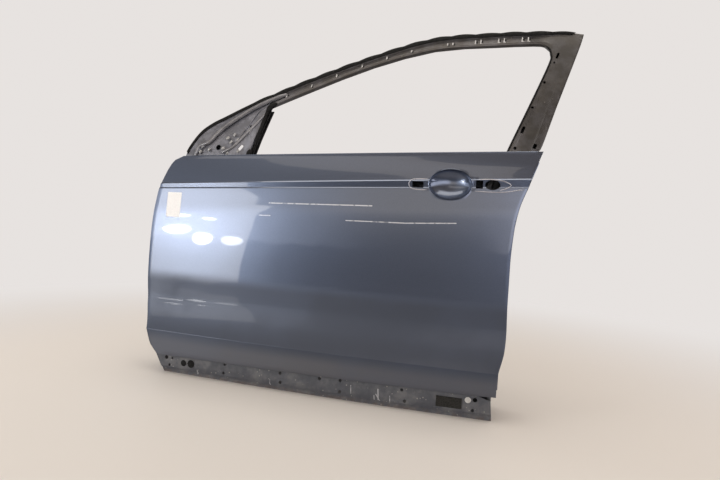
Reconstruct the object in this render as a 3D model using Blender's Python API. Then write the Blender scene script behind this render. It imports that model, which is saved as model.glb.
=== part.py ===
"""Front left car door shell: pressed skin, deep-drawn inner panel, window frame and what is welded inside.

Metres, +Z up. The door hangs as it does on the car: +X runs to the rear, +Y into the cabin, and the
painted skin faces -Y. Sizes are measured from the door's own corner: X from the foremost point of the
skin, Y from the lower crease of the skin, Z from the bottom edge. The datum empty then carries
everything, so that the origin of the model is the middle of the upper hinge face.
"""

import math

import bmesh
import bpy
from mathutils import Vector

# Sheet thicknesses and fits
SKIN_T = 0.0010
INNER_T = 0.0012
SILL_T = 0.0010
FRAME_T = 0.0012
STIFFENER_T = 0.0016
SEAM_GAP = 0.0003
WELD_GAP = 0.0003

# Plan bow of the body side: how far the ends of the door stand inboard of its middle
PLAN_BOW = 0.016
PLAN_MIDDLE_X = 0.52
PLAN_HALF_LENGTH = 0.54

# Height lines of the skin, each straight in side view: height at X = 0 and rise per metre towards the rear
LIP_LINE = (0.055, 0.012)
CREASE_LINE = (0.128, 0.0)
LOW_COACH_LINE = (0.5505, 0.0385)
HIGH_COACH_LINE = (0.5645, 0.0455)
BELT_LINE = (0.650, 0.0335)

# Handle bowl, the margin that the skin's rows and columns leave round it, and the openings beside it
BOWL_X, BOWL_ABOVE_COACH = 0.911, 0.010
BOWL_HALF_LENGTH, BOWL_HALF_HEIGHT = 0.0565, 0.0405
BOWL_DEPTH = 0.024
BOWL_RINGS = (1.0, 0.92, 0.70, 0.38)
BOWL_CLEAR_FRONT, BOWL_CLEAR_REAR, BOWL_CLEAR_BELOW, BOWL_CLEAR_ABOVE = 0.0065, 0.0145, 0.0055, 0.0039
COACH_GAP = HIGH_COACH_LINE[0] - LOW_COACH_LINE[0] + (HIGH_COACH_LINE[1] - LOW_COACH_LINE[1]) * BOWL_X
BOWL_FOOT = BOWL_ABOVE_COACH - BOWL_HALF_HEIGHT - BOWL_CLEAR_BELOW
BOWL_HEAD = BOWL_ABOVE_COACH + BOWL_HALF_HEIGHT + BOWL_CLEAR_ABOVE - COACH_GAP
BOWL_FRONT_X, BOWL_REAR_X = BOWL_X - BOWL_HALF_LENGTH, BOWL_X + BOWL_HALF_LENGTH
HANDLE_FRONT_HOLE = (BOWL_FRONT_X - 0.0285, 0.592, 0.030, 0.016)
HANDLE_REAR_HOLE = (BOWL_REAR_X + 0.0175, 0.598, 0.018, 0.021)
LOCK_HOLE = (BOWL_REAR_X + 0.0505, 0.598, 0.038, 0.026)

# Section of the skin: (name, height line, height above it, depth inboard of the lower crease)
LEDGE_HEIGHT = 0.003
SKIN_SECTION = (
    ("lip", LIP_LINE, 0.0, 0.0030),
    ("crease", CREASE_LINE, 0.0, 0.0000),
    ("flare_foot", CREASE_LINE, 0.022, 0.0120),
    ("flare", CREASE_LINE, 0.057, 0.0255),
    ("hollow", CREASE_LINE, 0.107, 0.0345),
    ("flank_low", CREASE_LINE, 0.172, 0.0375),
    ("flank", CREASE_LINE, 0.262, 0.0385),
    ("shoulder", LOW_COACH_LINE, -0.070, 0.0420),
    ("bowl_foot", LOW_COACH_LINE, BOWL_FOOT, 0.0458),
    ("low_coach", LOW_COACH_LINE, 0.0, 0.0498),
    ("low_ledge", LOW_COACH_LINE, LEDGE_HEIGHT, 0.0526),
    ("high_coach", HIGH_COACH_LINE, 0.0, 0.0514),
    ("high_ledge", HIGH_COACH_LINE, LEDGE_HEIGHT, 0.0546),
    ("bowl_head", HIGH_COACH_LINE, BOWL_HEAD, 0.0635),
    ("belt", BELT_LINE, 0.0, 0.0780),
)
SKIN_ROW_STEPS = (1, 1, 2, 2, 2, 2, 2, 1, 1, 1, 1, 1, 1, 2)
COACH_LINES = ("low_coach", "low_ledge", "high_coach", "high_ledge")
SHARP_LINES = ("crease", "low_coach", "low_ledge", "high_coach", "high_ledge")
NORMAL_REACH = 0.004

# Side view of the skin's edges: (height, place along X)
FRONT_EDGE = (
    (0.055, 0.062), (0.085, 0.037), (0.128, 0.024), (0.200, 0.003), (0.290, -0.005),
    (0.400, -0.001), (0.530, 0.013), (0.600, 0.033), (0.637, 0.052), (0.652, 0.082),
)
REAR_EDGE = (
    (0.055, 1.064), (0.128, 1.064), (0.200, 1.069), (0.300, 1.069), (0.400, 1.071),
    (0.480, 1.077), (0.540, 1.088), (0.600, 1.108), (0.690, 1.138),
)
SKIN_COLUMNS = (8, 6, 3)

# Hems and flanges at the edges of the skin
HEM_OUTER_R = (2 * SKIN_T + INNER_T + 2 * SEAM_GAP) / 2
HEM_RETURN = 0.009
LIP_HEM_OUTER_R = 0.0013
LIP_HEM_RETURN = 0.008
HEM_STEPS = 2
BELT_FLANGE_TURN = 0.0035
BELT_FLANGE_DROP = 0.014

# Closing panel below the skin, which the sill cladding clips to
SILL_FACE_DEPTH = 0.020
SILL_FLANGE_DEPTH = 0.024
SILL_FLANGE_TOP = 0.013
SILL_TOP = 0.090
SILL_FRONT_BOTTOM_X, SILL_FRONT_TOP_X = 0.077, 0.047
SILL_REAR_BOTTOM_X, SILL_REAR_TOP_X = 1.053, 1.048
SILL_TONGUE_X = (0.078, 1.020)
SILL_CLIP_HOLES = (
    (0.088, 0.044, 0.0060), (0.109, 0.044, 0.0035), (0.099, 0.022, 0.0040), (0.291, 0.049, 0.0040),
    (0.289, 0.024, 0.0045), (0.470, 0.049, 0.0048), (0.471, 0.023, 0.0048), (0.589, 0.050, 0.0050),
    (0.649, 0.053, 0.0045), (0.649, 0.022, 0.0048), (0.820, 0.051, 0.0045), (0.829, 0.022, 0.0048),
    (1.011, 0.050, 0.0060), (1.006, 0.022, 0.0045),
)
SILL_STEPS = 10
PLUG_GAP, PLUG_HEAD, PLUG_NECK = 0.0003, 0.0016, 0.78
PLUG_SIDES = 12
SILL_PLUGS = {
    "sill_plug_small": (0.150, 0.034, 0.0095),
    "sill_plug_large": (0.176, 0.035, 0.0120),
    "sill_plug_rear": (0.993, 0.048, 0.0080),
}
FOAM_PAD = (0.912, 0.978, 0.0225, 0.0500)
FOAM_PAD_T = 0.0025

# Inner panel: a pan whose end walls and floor run from the flange in the hem to the face at the cabin
FACE_Y = 0.158
HINGE_FACE_X = 0.050
HINGE_PAD_RAISE = 0.002
FRONT_WALL_X = HINGE_FACE_X + HINGE_PAD_RAISE
FRONT_WALL = (
    (0.000, FRONT_WALL_X + 0.046), (0.016, FRONT_WALL_X + 0.034), (0.050, FRONT_WALL_X + 0.014),
    (0.085, FRONT_WALL_X + 0.005), (0.105, FRONT_WALL_X), (0.545, FRONT_WALL_X),
    (0.600, FRONT_WALL_X + 0.005), (0.630, FRONT_WALL_X + 0.015), (0.650, FRONT_WALL_X + 0.022),
)
REAR_WALL_INSET = 0.024
WALL_BEND = 0.004
WALL_SHOULDER = 0.007
FLOOR_Z = 0.016
PANEL_TOP_DROP = 0.005
PAN_TOP_FRONT, PAN_TOP_REAR = 0.632, 0.672
TOP_CORNER = 0.012
FLANGE_EDGE_GAP = 0.0016
SILL_FRONT_FLANGE = ((0.000, 0.079), (0.050, 0.0505), (0.085, 0.0415))
END_FLANGE_TOP = 0.058
FLOOR_STEPS, TOP_STEPS = 8, 6

# Openings in the inner panel: (middle x, middle z, half length, half height), and how square the big one is
MODULE_APERTURE = (0.605, 0.325, 0.300, 0.185)
APERTURE_SQUARENESS = 5.0
APERTURE_LAND, APERTURE_STEP, APERTURE_LIP = 0.018, 0.004, 0.006
# The weld seams stand this far outside the big opening's land and ahead of the closing panel's rear end
FRONT_SEAM_SETBACK, REAR_SEAM_SETBACK = 0.017, 0.108
PANEL_SEAMS = (
    round(MODULE_APERTURE[0] - MODULE_APERTURE[2] - APERTURE_LAND - FRONT_SEAM_SETBACK, 6),
    round(SILL_REAR_BOTTOM_X - REAR_SEAM_SETBACK, 6),
)
SPEAKER_HOLE = (0.176, 0.208, 0.077)
TRIM_CLIP_R = 0.0045
TRIM_CLIP_HOLES = (
    (0.110, 0.320), (0.120, 0.450), (0.210, 0.560), (0.480, 0.545), (0.760, 0.550), (0.985, 0.540),
    (0.990, 0.400), (0.985, 0.240), (0.960, 0.060), (0.700, 0.060), (0.440, 0.060), (0.210, 0.060),
)
DRAIN_SLOTS = (0.220, 0.560, 0.900)
DRAIN_SLOT_SIZE, DRAIN_SLOT_Y = (0.012, 0.004), 0.070

# Hinges, check strap, wiring and latch, on the end walls of the inner panel
UPPER_HINGE_Z, LOWER_HINGE_Z = 0.485, 0.165
HINGE_Y = 0.107
HINGE_PAD = (0.064, 0.090)
HINGE_PAD_SLOPE = 0.003
HINGE_BOLT_SPACING = 0.052
HINGE_BOLT_R, HINGE_THREAD_R = 0.0055, 0.0042
TAPPING_PLATE = (0.030, 0.078, 0.006)
STIFFENER_MARGIN = 0.012
CHECK_STRAP_Z, CHECK_STRAP_SLOT = 0.317, (0.026, 0.020)
CHECK_STRAP_PLATE = (0.066, 0.052)
CHECK_STRAP_BOLT_R, CHECK_STRAP_BOLT_SPACING = 0.0035, 0.046
WIRING_Z, WIRING_R = 0.385, 0.0185
LATCH_Z, LATCH_Y = 0.350, 0.106
LATCH_SLOT, LATCH_PLATE = (0.022, 0.056), (0.070, 0.120)
LATCH_BOLT_R = 0.0036
LATCH_BOLTS = ((-0.024, 0.036), (0.024, 0.036), (-0.024, -0.036))

# Window frame: how it stands inboard of the belt line and leans in above it
FRAME_SET = 0.016
TUMBLEHOME, TUMBLEHOME_CURVE = 0.33, 0.15
TUMBLEHOME_BLEND = 0.050
FRAME_BOX = 0.034
FRAME_BEND = 0.003
FRAME_FLANGE = 0.005
FRAME_LIP_START, FRAME_LIP_END = 0.0015, 0.012
FLANGE_LEAN = 1.33
MIRROR_PLATE_SET = 0.0092

# Ribs that the frame is lofted through, from the foot of the mirror sail over the header to the rear leg:
# (outer edge, opening edge, width of the outer border, width of the land at the opening, depth of the
# channel between them, whether the edges turn a corner there)
FRAME_RIBS = (
    ((0.080, 0.634), (0.092, 0.610), 0.008, 0.008, 0.001, False),
    ((0.082, 0.668), (0.118, 0.611), 0.028, 0.010, 0.003, False),
    ((0.116, 0.726), (0.168, 0.612), 0.050, 0.016, 0.005, False),
    ((0.155, 0.757), (0.200, 0.613), 0.044, 0.022, 0.006, False),
    ((0.195, 0.777), (0.228, 0.614), 0.031, 0.042, 0.007, False),
    ((0.240, 0.800), (0.258, 0.614), 0.023, 0.086, 0.007, False),
    ((0.283, 0.821), (0.286, 0.612), 0.020, 0.140, 0.006, True),
    ((0.312, 0.833), (0.3107, 0.709), 0.017, 0.090, 0.006, False),
    ((0.345, 0.847), (0.336, 0.808), 0.011, 0.010, 0.005, True),
    ((0.455, 0.892), (0.467, 0.863), 0.010, 0.008, 0.005, False),
    ((0.626, 0.956), (0.640, 0.931), 0.010, 0.008, 0.005, False),
    ((0.808, 1.010), (0.815, 0.978), 0.010, 0.008, 0.005, False),
    ((0.980, 1.021), (0.973, 0.986), 0.010, 0.008, 0.005, False),
    ((1.092, 1.022), (1.085, 0.988), 0.010, 0.009, 0.005, False),
    ((1.165, 1.021), (1.114, 0.984), 0.012, 0.012, 0.003, False),
    ((1.214, 1.014), (1.128, 0.971), 0.018, 0.014, 0.002, True),
    ((1.208, 0.985), (1.1325, 0.950), 0.022, 0.014, 0.002, False),
    ((1.192, 0.926), (1.128, 0.923), 0.022, 0.014, 0.002, False),
    ((1.158, 0.806), (1.087, 0.806), 0.022, 0.014, 0.002, False),
    ((1.131, 0.706), (1.050, 0.706), 0.022, 0.014, 0.002, False),
    ((1.107, 0.682), (1.0415, 0.682), 0.020, 0.014, 0.002, False),
    ((1.085, 0.612), (1.017, 0.612), 0.018, 0.014, 0.002, True),
)
FRAME_RIB_STEPS = (1, 2, 2, 1, 1, 1, 2, 2, 2, 2, 2, 2, 2, 2, 1, 1, 1, 1, 1, 1, 1, 0)
HEADER_TAB_SLOTS = (
    (0.392, 0.843), (0.468, 0.872), (0.541, 0.903), (0.615, 0.931), (0.686, 0.955), (0.756, 0.973),
    (0.857, 0.991), (0.872, 0.993), (0.934, 0.998), (0.949, 0.999), (0.997, 1.001), (1.012, 1.002),
    (1.060, 1.003), (1.076, 1.003),
)
TAB_SLOT = (0.0035, 0.009)
PILLAR_SLOTS = ((1.151, 0.953, 0.006, 0.017), (1.079, 0.746, 0.008, 0.019), (1.112, 0.703, 0.009, 0.013))
PILLAR_HOLES = ((1.144, 0.933, 0.0025), (1.123, 0.877, 0.0035), (1.098, 0.807, 0.0035), (1.063, 0.697, 0.004))
PILLAR_LEAN = 0.30
SAIL_HOLES = ((0.188, 0.683, 0.0085), (0.290, 0.749, 0.0040), (0.285, 0.730, 0.0028), (0.130, 0.686, 0.0028))
SAIL_SLOT = (0.268, 0.682, 0.022, 0.010, 0.9)
SAIL_WINDOW = ((0.222, 0.664), (0.278, 0.664), (0.301, 0.768), (0.262, 0.742))
MIRROR_PLATE = (0.142, 0.234, 0.652, 0.712)

# Black scalloped strip along the top of the frame
SEAL_T, SEAL_LAP, SEAL_REACH, SEAL_WAVE = 0.0024, 0.0065, 0.0015, 0.0030
SEAL_PITCH = 0.068
SEAL_FROM_STATION, SEAL_WAVES_FROM_X = 1, 0.282
SEAL_STEPS_PER_WAVE = 4

# Channels that the door glass runs in
RUN_DEPTH, RUN_WIDTH, RUN_T = 0.011, 0.022, 0.0012
RUN_SET, RUN_LEAN, RUN_CURVE = 0.006, 0.17, 0.10
RUN_SLOPE = 0.255
RUN_BOTTOM, RUN_TOP = 0.345, 0.798
REAR_RUN_TOP = 0.664
REAR_RUN_SLOPE = 0.350
RUN_STEPS = 10
RUN_SEAL_T = 0.0022
RUN_SEAL_FROM_STEP = 6
RUN_BRACKET_WIDTH, RUN_BRACKET_FOOT = 0.026, 0.024

# Belt stiffeners, handle stiffener and side impact beam
BELT_STIFFENER_X = (0.320, 0.996)
BELT_STIFFENER_STEPS = 10
BELT_HAT_DEPTH = 0.020
BEAM_R, BEAM_WALL = 0.0155, 0.0022
BEAM_SIDES = 16
BEAM_Y = 0.0685
BEAM_FRONT, BEAM_REAR = (0.062, 0.258), (1.034, 0.170)
BEAM_BRACKET_LENGTH, BEAM_BRACKET_HEIGHT = 0.090, 0.044
HANDLE_PLATE_X = (HANDLE_FRONT_HOLE[0] - 0.026, LOCK_HOLE[0] + 0.030)
HANDLE_PLATE_EDGES = (BOWL_FOOT - 0.020, BOWL_FOOT + 0.006, BOWL_HEAD - 0.004)
HANDLE_PLATE_GAP = 0.0006
HANDLE_PLATE_STEPS = 8
MASTIC_X = (0.300, 0.545, 0.790)
MASTIC_R = 0.016

DATUM = Vector((HINGE_FACE_X, HINGE_Y, UPPER_HINGE_Z))


def smooth_curve(points):
    """A function through (t, value) points that is smooth and never overshoots them."""
    ts = [p[0] for p in points]
    vs = [p[1] for p in points]
    secants = [(b - a) / (s - r) for r, s, a, b in zip(ts, ts[1:], vs, vs[1:])]
    slopes = [secants[0]]
    for left, right in zip(secants, secants[1:]):
        slopes.append(2 * left * right / (left + right) if left * right > 0 else 0.0)
    slopes.append(secants[-1])

    def value(t):
        if t <= ts[0]:
            return vs[0] + slopes[0] * (t - ts[0])
        if t >= ts[-1]:
            return vs[-1] + slopes[-1] * (t - ts[-1])
        i = max(k for k in range(len(ts) - 1) if ts[k] <= t)
        h = ts[i + 1] - ts[i]
        s = (t - ts[i]) / h
        return (
            (2 * s**3 - 3 * s**2 + 1) * vs[i] + (s**3 - 2 * s**2 + s) * h * slopes[i]
            + (3 * s**2 - 2 * s**3) * vs[i + 1] + (s**3 - s**2) * h * slopes[i + 1]
        )

    return value


front_edge = smooth_curve(FRONT_EDGE)
rear_edge = smooth_curve(REAR_EDGE)
front_wall = smooth_curve(FRONT_WALL)
sill_front_flange = smooth_curve(SILL_FRONT_FLANGE)


def height(line, x):
    return line[0] + line[1] * x


def plan_bow(x):
    return PLAN_BOW * ((x - PLAN_MIDDLE_X) / PLAN_HALF_LENGTH) ** 2


def bow_slope(x):
    return 2 * PLAN_BOW * (x - PLAN_MIDDLE_X) / PLAN_HALF_LENGTH**2


def section_groups():
    """The section split at its creases, so that each stretch between them is smooth."""
    groups, current = [], []
    for row in SKIN_SECTION:
        current.append(row)
        if row[0] in SHARP_LINES:
            groups.append(current)
            current = [row]
    return groups + [current]


SECTION_GROUPS = section_groups()


def skin_depth(x, z):
    """Depth Y of the skin's outer face, before the bowl is pressed in."""
    for group in SECTION_GROUPS:
        if z <= height(group[-1][1], x) + group[-1][2] or group is SECTION_GROUPS[-1]:
            curve = smooth_curve([(height(r[1], x) + r[2], r[3]) for r in group])
            return curve(z) + plan_bow(x)


def skin_normal(x, z):
    """Unit normal of the skin, pointing out of the car; it is averaged so that creases round off."""
    e = NORMAL_REACH
    by_x = (skin_depth(x + e, z) - skin_depth(x - e, z)) / (2 * e)
    by_z = (skin_depth(x, z + e) - skin_depth(x, z - e)) / (2 * e)
    return Vector((by_x, -1.0, by_z)).normalized()


def skin_point(x, z, inboard=0.0):
    """A point on the skin's outer face, or this far behind it along the normal."""
    return Vector((x, skin_depth(x, z), z)) - skin_normal(x, z) * inboard


def frame_depth(x, z):
    """Depth Y of the window frame's outer face, which stands straight down inside the door."""
    rise = z - height(BELT_LINE, x) + TUMBLEHOME_BLEND
    bent = min(max(rise, 0.0), 2 * TUMBLEHOME_BLEND)
    above = max(0.0, rise - 2 * TUMBLEHOME_BLEND)
    lean = TUMBLEHOME * bent**2 / (4 * TUMBLEHOME_BLEND) + TUMBLEHOME * above + TUMBLEHOME_CURVE * above**2
    return SKIN_SECTION[-1][3] + plan_bow(x) + FRAME_SET + lean


def frame_point(x, z, inboard=0.0):
    return Vector((x, frame_depth(x, z) + inboard, z))


def sill_depth(x, z):
    """Depth Y of the closing panel's outer face, with its joggle down to the bottom flange."""
    share = min(max((SILL_FLANGE_TOP + 0.003 - z) / 0.004, 0.0), 1.0)
    return SILL_FACE_DEPTH + (SILL_FLANGE_DEPTH - SILL_FACE_DEPTH) * share + plan_bow(x)


def rear_wall(z):
    """Place X of the inner panel's rear wall."""
    return rear_edge(z) - REAR_WALL_INSET


def paint(name, colour, roughness, metallic=0.0):
    """A Principled BSDF of one colour, made once."""
    material = bpy.data.materials.get(name)
    if material is None:
        material = bpy.data.materials.new(name)
        material.use_nodes = True
        shader = material.node_tree.nodes["Principled BSDF"]
        shader.inputs["Base Color"].default_value = (*colour, 1.0)
        shader.inputs["Roughness"].default_value = roughness
        shader.inputs["Metallic"].default_value = metallic
    return material


def body_paint():
    return paint("blue_grey_metallic_paint", (0.115, 0.140, 0.195), 0.28, 0.6)


def undercoat():
    return paint("thin_grey_overspray", (0.085, 0.085, 0.090), 0.5, 0.2)


def stiffener_coat():
    return paint("dipped_primer", (0.060, 0.062, 0.066), 0.55, 0.2)


def black_rubber():
    return paint("black_rubber", (0.012, 0.012, 0.013), 0.7)


def black_foam():
    return paint("black_foam", (0.016, 0.015, 0.014), 0.95)


def pale_plastic():
    return paint("pale_plastic", (0.55, 0.55, 0.53), 0.45)


def grey_mastic():
    return paint("grey_mastic", (0.10, 0.10, 0.105), 0.9)


def place(name, mesh, material, parent):
    """A named object of this mesh under the datum, shaded smooth up to its sharp edges."""
    mesh.materials.append(material)
    mesh.shade_smooth()
    mesh.set_sharp_from_angle(angle=math.radians(30))
    item = bpy.data.objects.new(name, mesh)
    bpy.context.scene.collection.objects.link(item)
    item.parent = parent
    return item


def sheet(name, mesh, thickness, material, parent):
    """A pressed sheet: the mesh is one face of it, and the thickness goes behind that face's normals."""
    item = place(name, mesh, material, parent)
    solidify = item.modifiers.new("sheet thickness", "SOLIDIFY")
    solidify.thickness = thickness
    solidify.offset = -1.0
    solidify.use_even_offset = True
    return item


def cut(item, cutters, operation="DIFFERENCE"):
    """One Boolean with a helper made of one or more closed bodies."""
    helper = bpy.data.objects.new(f"{item.name}_{operation.lower()}_tool", merged(cutters))
    bpy.context.scene.collection.objects.link(helper)
    helper.parent = item.parent
    helper.hide_render = True
    helper.display_type = "WIRE"
    modifier = item.modifiers.new(operation.lower(), "BOOLEAN")
    modifier.operation = operation
    modifier.solver = "EXACT"
    modifier.object = helper


def merged(meshes):
    """Several meshes as one mesh of separate bodies."""
    bm = bmesh.new()
    for mesh in meshes:
        bm.from_mesh(mesh)
    joined = bpy.data.meshes.new("tool")
    bm.to_mesh(joined)
    bm.free()
    return joined


def grid_mesh(name, rows, flip=False):
    """A sheet of quads through rows of points; every row has as many points as the first."""
    bm = bmesh.new()
    verts = [[bm.verts.new(p) for p in row] for row in rows]
    for low, high in zip(verts, verts[1:]):
        for a, b, c, d in zip(low, low[1:], high[1:], high):
            bm.faces.new((d, c, b, a) if flip else (a, b, c, d))
    return finished(name, bm)


def finished(name, bm):
    mesh = bpy.data.meshes.new(name)
    bm.to_mesh(mesh)
    bm.free()
    return mesh


def prism(outline, offset):
    """A closed body: the outline, points in order, swept by the offset."""
    bm = bmesh.new()
    base = bm.faces.new([bm.verts.new(p) for p in outline])
    swept = bmesh.ops.extrude_face_region(bm, geom=[base])
    bmesh.ops.translate(bm, vec=offset, verts=[v for v in swept["geom"] if isinstance(v, bmesh.types.BMVert)])
    bmesh.ops.recalc_face_normals(bm, faces=bm.faces)
    return finished("prism", bm)


def rounded_box(width, tall, radius, steps=4):
    """Outline of a rectangle with round corners about the origin, in its own plane."""
    corners = (
        (width / 2 - radius, tall / 2 - radius, 0), (radius - width / 2, tall / 2 - radius, 1),
        (radius - width / 2, radius - tall / 2, 2), (width / 2 - radius, radius - tall / 2, 3),
    )
    points = []
    for cx, cz, quarter in corners:
        for i in range(steps + 1):
            angle = (quarter + i / steps) * math.pi / 2
            points.append((cx + radius * math.cos(angle), cz + radius * math.sin(angle)))
    return points


def ellipse(half_width, half_height, steps=20):
    angles = [2 * math.pi * i / steps for i in range(steps)]
    return [(half_width * math.cos(a), half_height * math.sin(a)) for a in angles]


def through_y(shape, x, z, low_y, high_y, tilt=0.0):
    """A punch along Y at (x, z)."""
    c, s = math.cos(tilt), math.sin(tilt)
    outline = [Vector((x + c * u - s * v, low_y, z + s * u + c * v)) for u, v in shape]
    return prism(outline, Vector((0, high_y - low_y, 0)))


def through_x(shape, y, z, low_x, high_x):
    """A punch along X at (y, z)."""
    outline = [Vector((low_x, y + u, z + v)) for u, v in shape]
    return prism(outline, Vector((high_x - low_x, 0, 0)))


def through_z(shape, x, y, low_z, high_z):
    """A punch along Z at (x, y)."""
    outline = [Vector((x + u, y + v, low_z)) for u, v in shape]
    return prism(outline, Vector((0, 0, high_z - low_z)))


def skin_rows():
    """Height functions of the skin's rows, bottom to top, each with the name of its section line or None."""
    rows = []
    for low, high, steps in zip(SKIN_SECTION, SKIN_SECTION[1:], SKIN_ROW_STEPS):
        for i in range(steps):
            share = i / steps
            rows.append((low[0] if i == 0 else None, low, high, share))
    rows.append((SKIN_SECTION[-1][0], SKIN_SECTION[-2], SKIN_SECTION[-1], 1.0))
    return rows


def row_height(row, x):
    _, low, high, share = row
    a = height(low[1], x) + low[2]
    b = height(high[1], x) + high[2]
    return a + (b - a) * share


def column_shares():
    """Places across the skin, 0 at the front edge and 1 at the rear, closer together over the handle."""
    front, rear = front_edge(LOW_COACH_LINE[0]), rear_edge(height(LOW_COACH_LINE, BOWL_X))
    low_stop = (BOWL_FRONT_X - BOWL_CLEAR_FRONT - front) / (rear - front)
    high_stop = (BOWL_REAR_X + BOWL_CLEAR_REAR - front) / (rear - front)
    stops = (0.0, low_stop, high_stop, 1.0)
    shares = [0.0]
    for low, high, count in zip(stops, stops[1:], SKIN_COLUMNS):
        shares += [low + (high - low) * (i + 1) / count for i in range(count)]
    return shares


def skin_grid():
    """The points (x, z) of the skin: rows bottom to top, columns front to rear, inside its hems."""
    grid = []
    for row in skin_rows():
        front = rear = 0.5
        for _ in range(6):
            front = front_edge(row_height(row, front)) + HEM_OUTER_R
            rear = rear_edge(row_height(row, rear)) - HEM_OUTER_R
        xs = [front + (rear - front) * share for share in column_shares()]
        grid.append([(x, row_height(row, x)) for x in xs])
    return grid


def bowl_point(x, z):
    """A point of the pressed bowl: a smooth dish below the line of the skin around it."""
    centre_z = height(LOW_COACH_LINE, BOWL_X) + BOWL_ABOVE_COACH
    u = (x - BOWL_X) / BOWL_HALF_LENGTH
    v = (z - centre_z) / BOWL_HALF_HEIGHT
    r = min(1.0, math.hypot(u, v))
    dish = BOWL_DEPTH * (1 - r**2) ** 0.75
    return Vector((x, skin_depth(x, z) * r**4 + smooth_depth(x, z) * (1 - r**4) + dish, z))


def smooth_depth(x, z):
    """Depth of the skin with the coach lines left out, which the bowl wipes away."""
    low = height(LOW_COACH_LINE, x) + BOWL_FOOT
    high = height(HIGH_COACH_LINE, x) + BOWL_HEAD
    share = (z - low) / (high - low)
    return skin_depth(x, low) + (skin_depth(x, high) - skin_depth(x, low)) * share


def fold(start, back, outward, flange):
    """A hem: half a circle from the skin's edge to a point straight behind it, then a straight return."""
    centre, arm = (start + back) / 2, (start - back) / 2
    turned = []
    for i in range(1, HEM_STEPS + 1):
        angle = math.pi * i / HEM_STEPS
        turned.append(centre + arm * math.cos(angle) + outward * arm.length * math.sin(angle))
    return turned + [turned[-1] - outward * flange]


def outer_skin(parent):
    """The painted skin: a grid on its section lines, a bowl pressed in, three hems and a belt flange."""
    grid = skin_grid()
    names = [row[0] for row in skin_rows()]
    low_row, high_row = names.index("bowl_foot"), names.index("bowl_head")
    first, last = SKIN_COLUMNS[0], SKIN_COLUMNS[0] + SKIN_COLUMNS[1]
    bm = bmesh.new()
    verts = [[None] * len(row) for row in grid]
    for r, row in enumerate(grid):
        for c, (x, z) in enumerate(row):
            if not (low_row < r < high_row and first < c < last):
                verts[r][c] = bm.verts.new(skin_point(x, z))
    for r in range(len(grid) - 1):
        for c in range(len(grid[0]) - 1):
            if not (low_row <= r < high_row and first <= c < last):
                bm.faces.new((verts[r][c], verts[r][c + 1], verts[r + 1][c + 1], verts[r + 1][c]))
    add_bowl(bm, verts, low_row, high_row, first, last)
    add_hems(bm, grid, verts)
    item = sheet("outer_skin", finished("outer_skin", bm), SKIN_T, body_paint(), parent)
    cut(item, handle_punches())
    return item


def add_bowl(bm, verts, low_row, high_row, first, last):
    """Fills the hole that the grid leaves with rings from its border down to the bottom of the bowl."""
    border = [verts[low_row][c] for c in range(first, last)]
    border += [verts[r][last] for r in range(low_row, high_row)]
    border += [verts[high_row][c] for c in range(last, first, -1)]
    border += [verts[r][first] for r in range(high_row, low_row, -1)]
    centre_z = height(LOW_COACH_LINE, BOWL_X) + BOWL_ABOVE_COACH
    outer = border
    for share in BOWL_RINGS:
        ring = []
        for v in border:
            angle = math.atan2((v.co.z - centre_z) / BOWL_HALF_HEIGHT, (v.co.x - BOWL_X) / BOWL_HALF_LENGTH)
            x = BOWL_X + BOWL_HALF_LENGTH * share * math.cos(angle)
            z = centre_z + BOWL_HALF_HEIGHT * share * math.sin(angle)
            ring.append(bm.verts.new(bowl_point(x, z)))
        for i, (a, b) in enumerate(zip(outer, ring)):
            j = (i + 1) % len(ring)
            bm.faces.new((a, outer[j], ring[j], b))
        outer = ring
    bottom = bm.verts.new(bowl_point(BOWL_X, centre_z))
    for i, a in enumerate(outer):
        bm.faces.new((a, outer[(i + 1) % len(outer)], bottom))


def add_hems(bm, grid, verts):
    """Hems along the front, rear and bottom edges, short of the corners, and the flange along the belt."""
    last_row, last_column = len(grid) - 1, len(grid[0]) - 1
    front, rear, bottom, belt = [], [], [], []
    for r in range(1, last_row - 1):
        for c, outward, hems in ((0, Vector((-1, 0, 0)), front), (last_column, Vector((1, 0, 0)), rear)):
            x, z = grid[r][c]
            along = outward.copy()
            along.y = along.x * bow_slope(x)
            start, back = backing_point(x, z, 0.0), backing_point(x, z, 2 * HEM_OUTER_R)
            turned = fold(start, back, along.normalized(), HEM_RETURN)
            hems.append([verts[r][c]] + [bm.verts.new(p) for p in turned])
    for c in range(1, last_column):
        x, z = grid[0][c]
        start = skin_point(x, z)
        turned = fold(start, start + Vector((0, 2 * LIP_HEM_OUTER_R, 0)), Vector((0, 0, -1)), LIP_HEM_RETURN)
        bottom.append([verts[0][c]] + [bm.verts.new(p) for p in turned])
    for c in range(1, last_column):
        corner = skin_point(*grid[last_row][c])
        turn = [Vector((0, BELT_FLANGE_TURN * 0.3, 0.001)), Vector((0, BELT_FLANGE_TURN, 0.0005))]
        drop = turn[1] - Vector((0, 0, BELT_FLANGE_DROP))
        belt.append([verts[last_row][c]] + [bm.verts.new(corner + p) for p in (*turn, drop)])
    for strips, flip in ((front, True), (rear, False), (bottom, False), (belt, True)):
        for left, right in zip(strips, strips[1:]):
            for a, b, c, d in zip(left, left[1:], right[1:], right):
                bm.faces.new((d, c, b, a) if flip else (a, b, c, d))


def handle_punches(grow=0.0):
    """Punches for the handle's two feet and the lock barrel, with the small notch beside the front one."""
    x, z, w, h = HANDLE_FRONT_HOLE
    punches = [through_y(rounded_box(w + 2 * grow, h + 2 * grow, 0.002), x, z, 0.03, 0.10)]
    x, z, w, h = HANDLE_REAR_HOLE
    punches.append(through_y(rounded_box(w + 2 * grow, h + 2 * grow, 0.002), x, z, 0.03, 0.12))
    x, z, w, h = LOCK_HOLE
    punches.append(through_y(ellipse(w / 2 + grow, h / 2 + grow, 24), x, z, 0.03, 0.12))
    return punches


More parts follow.
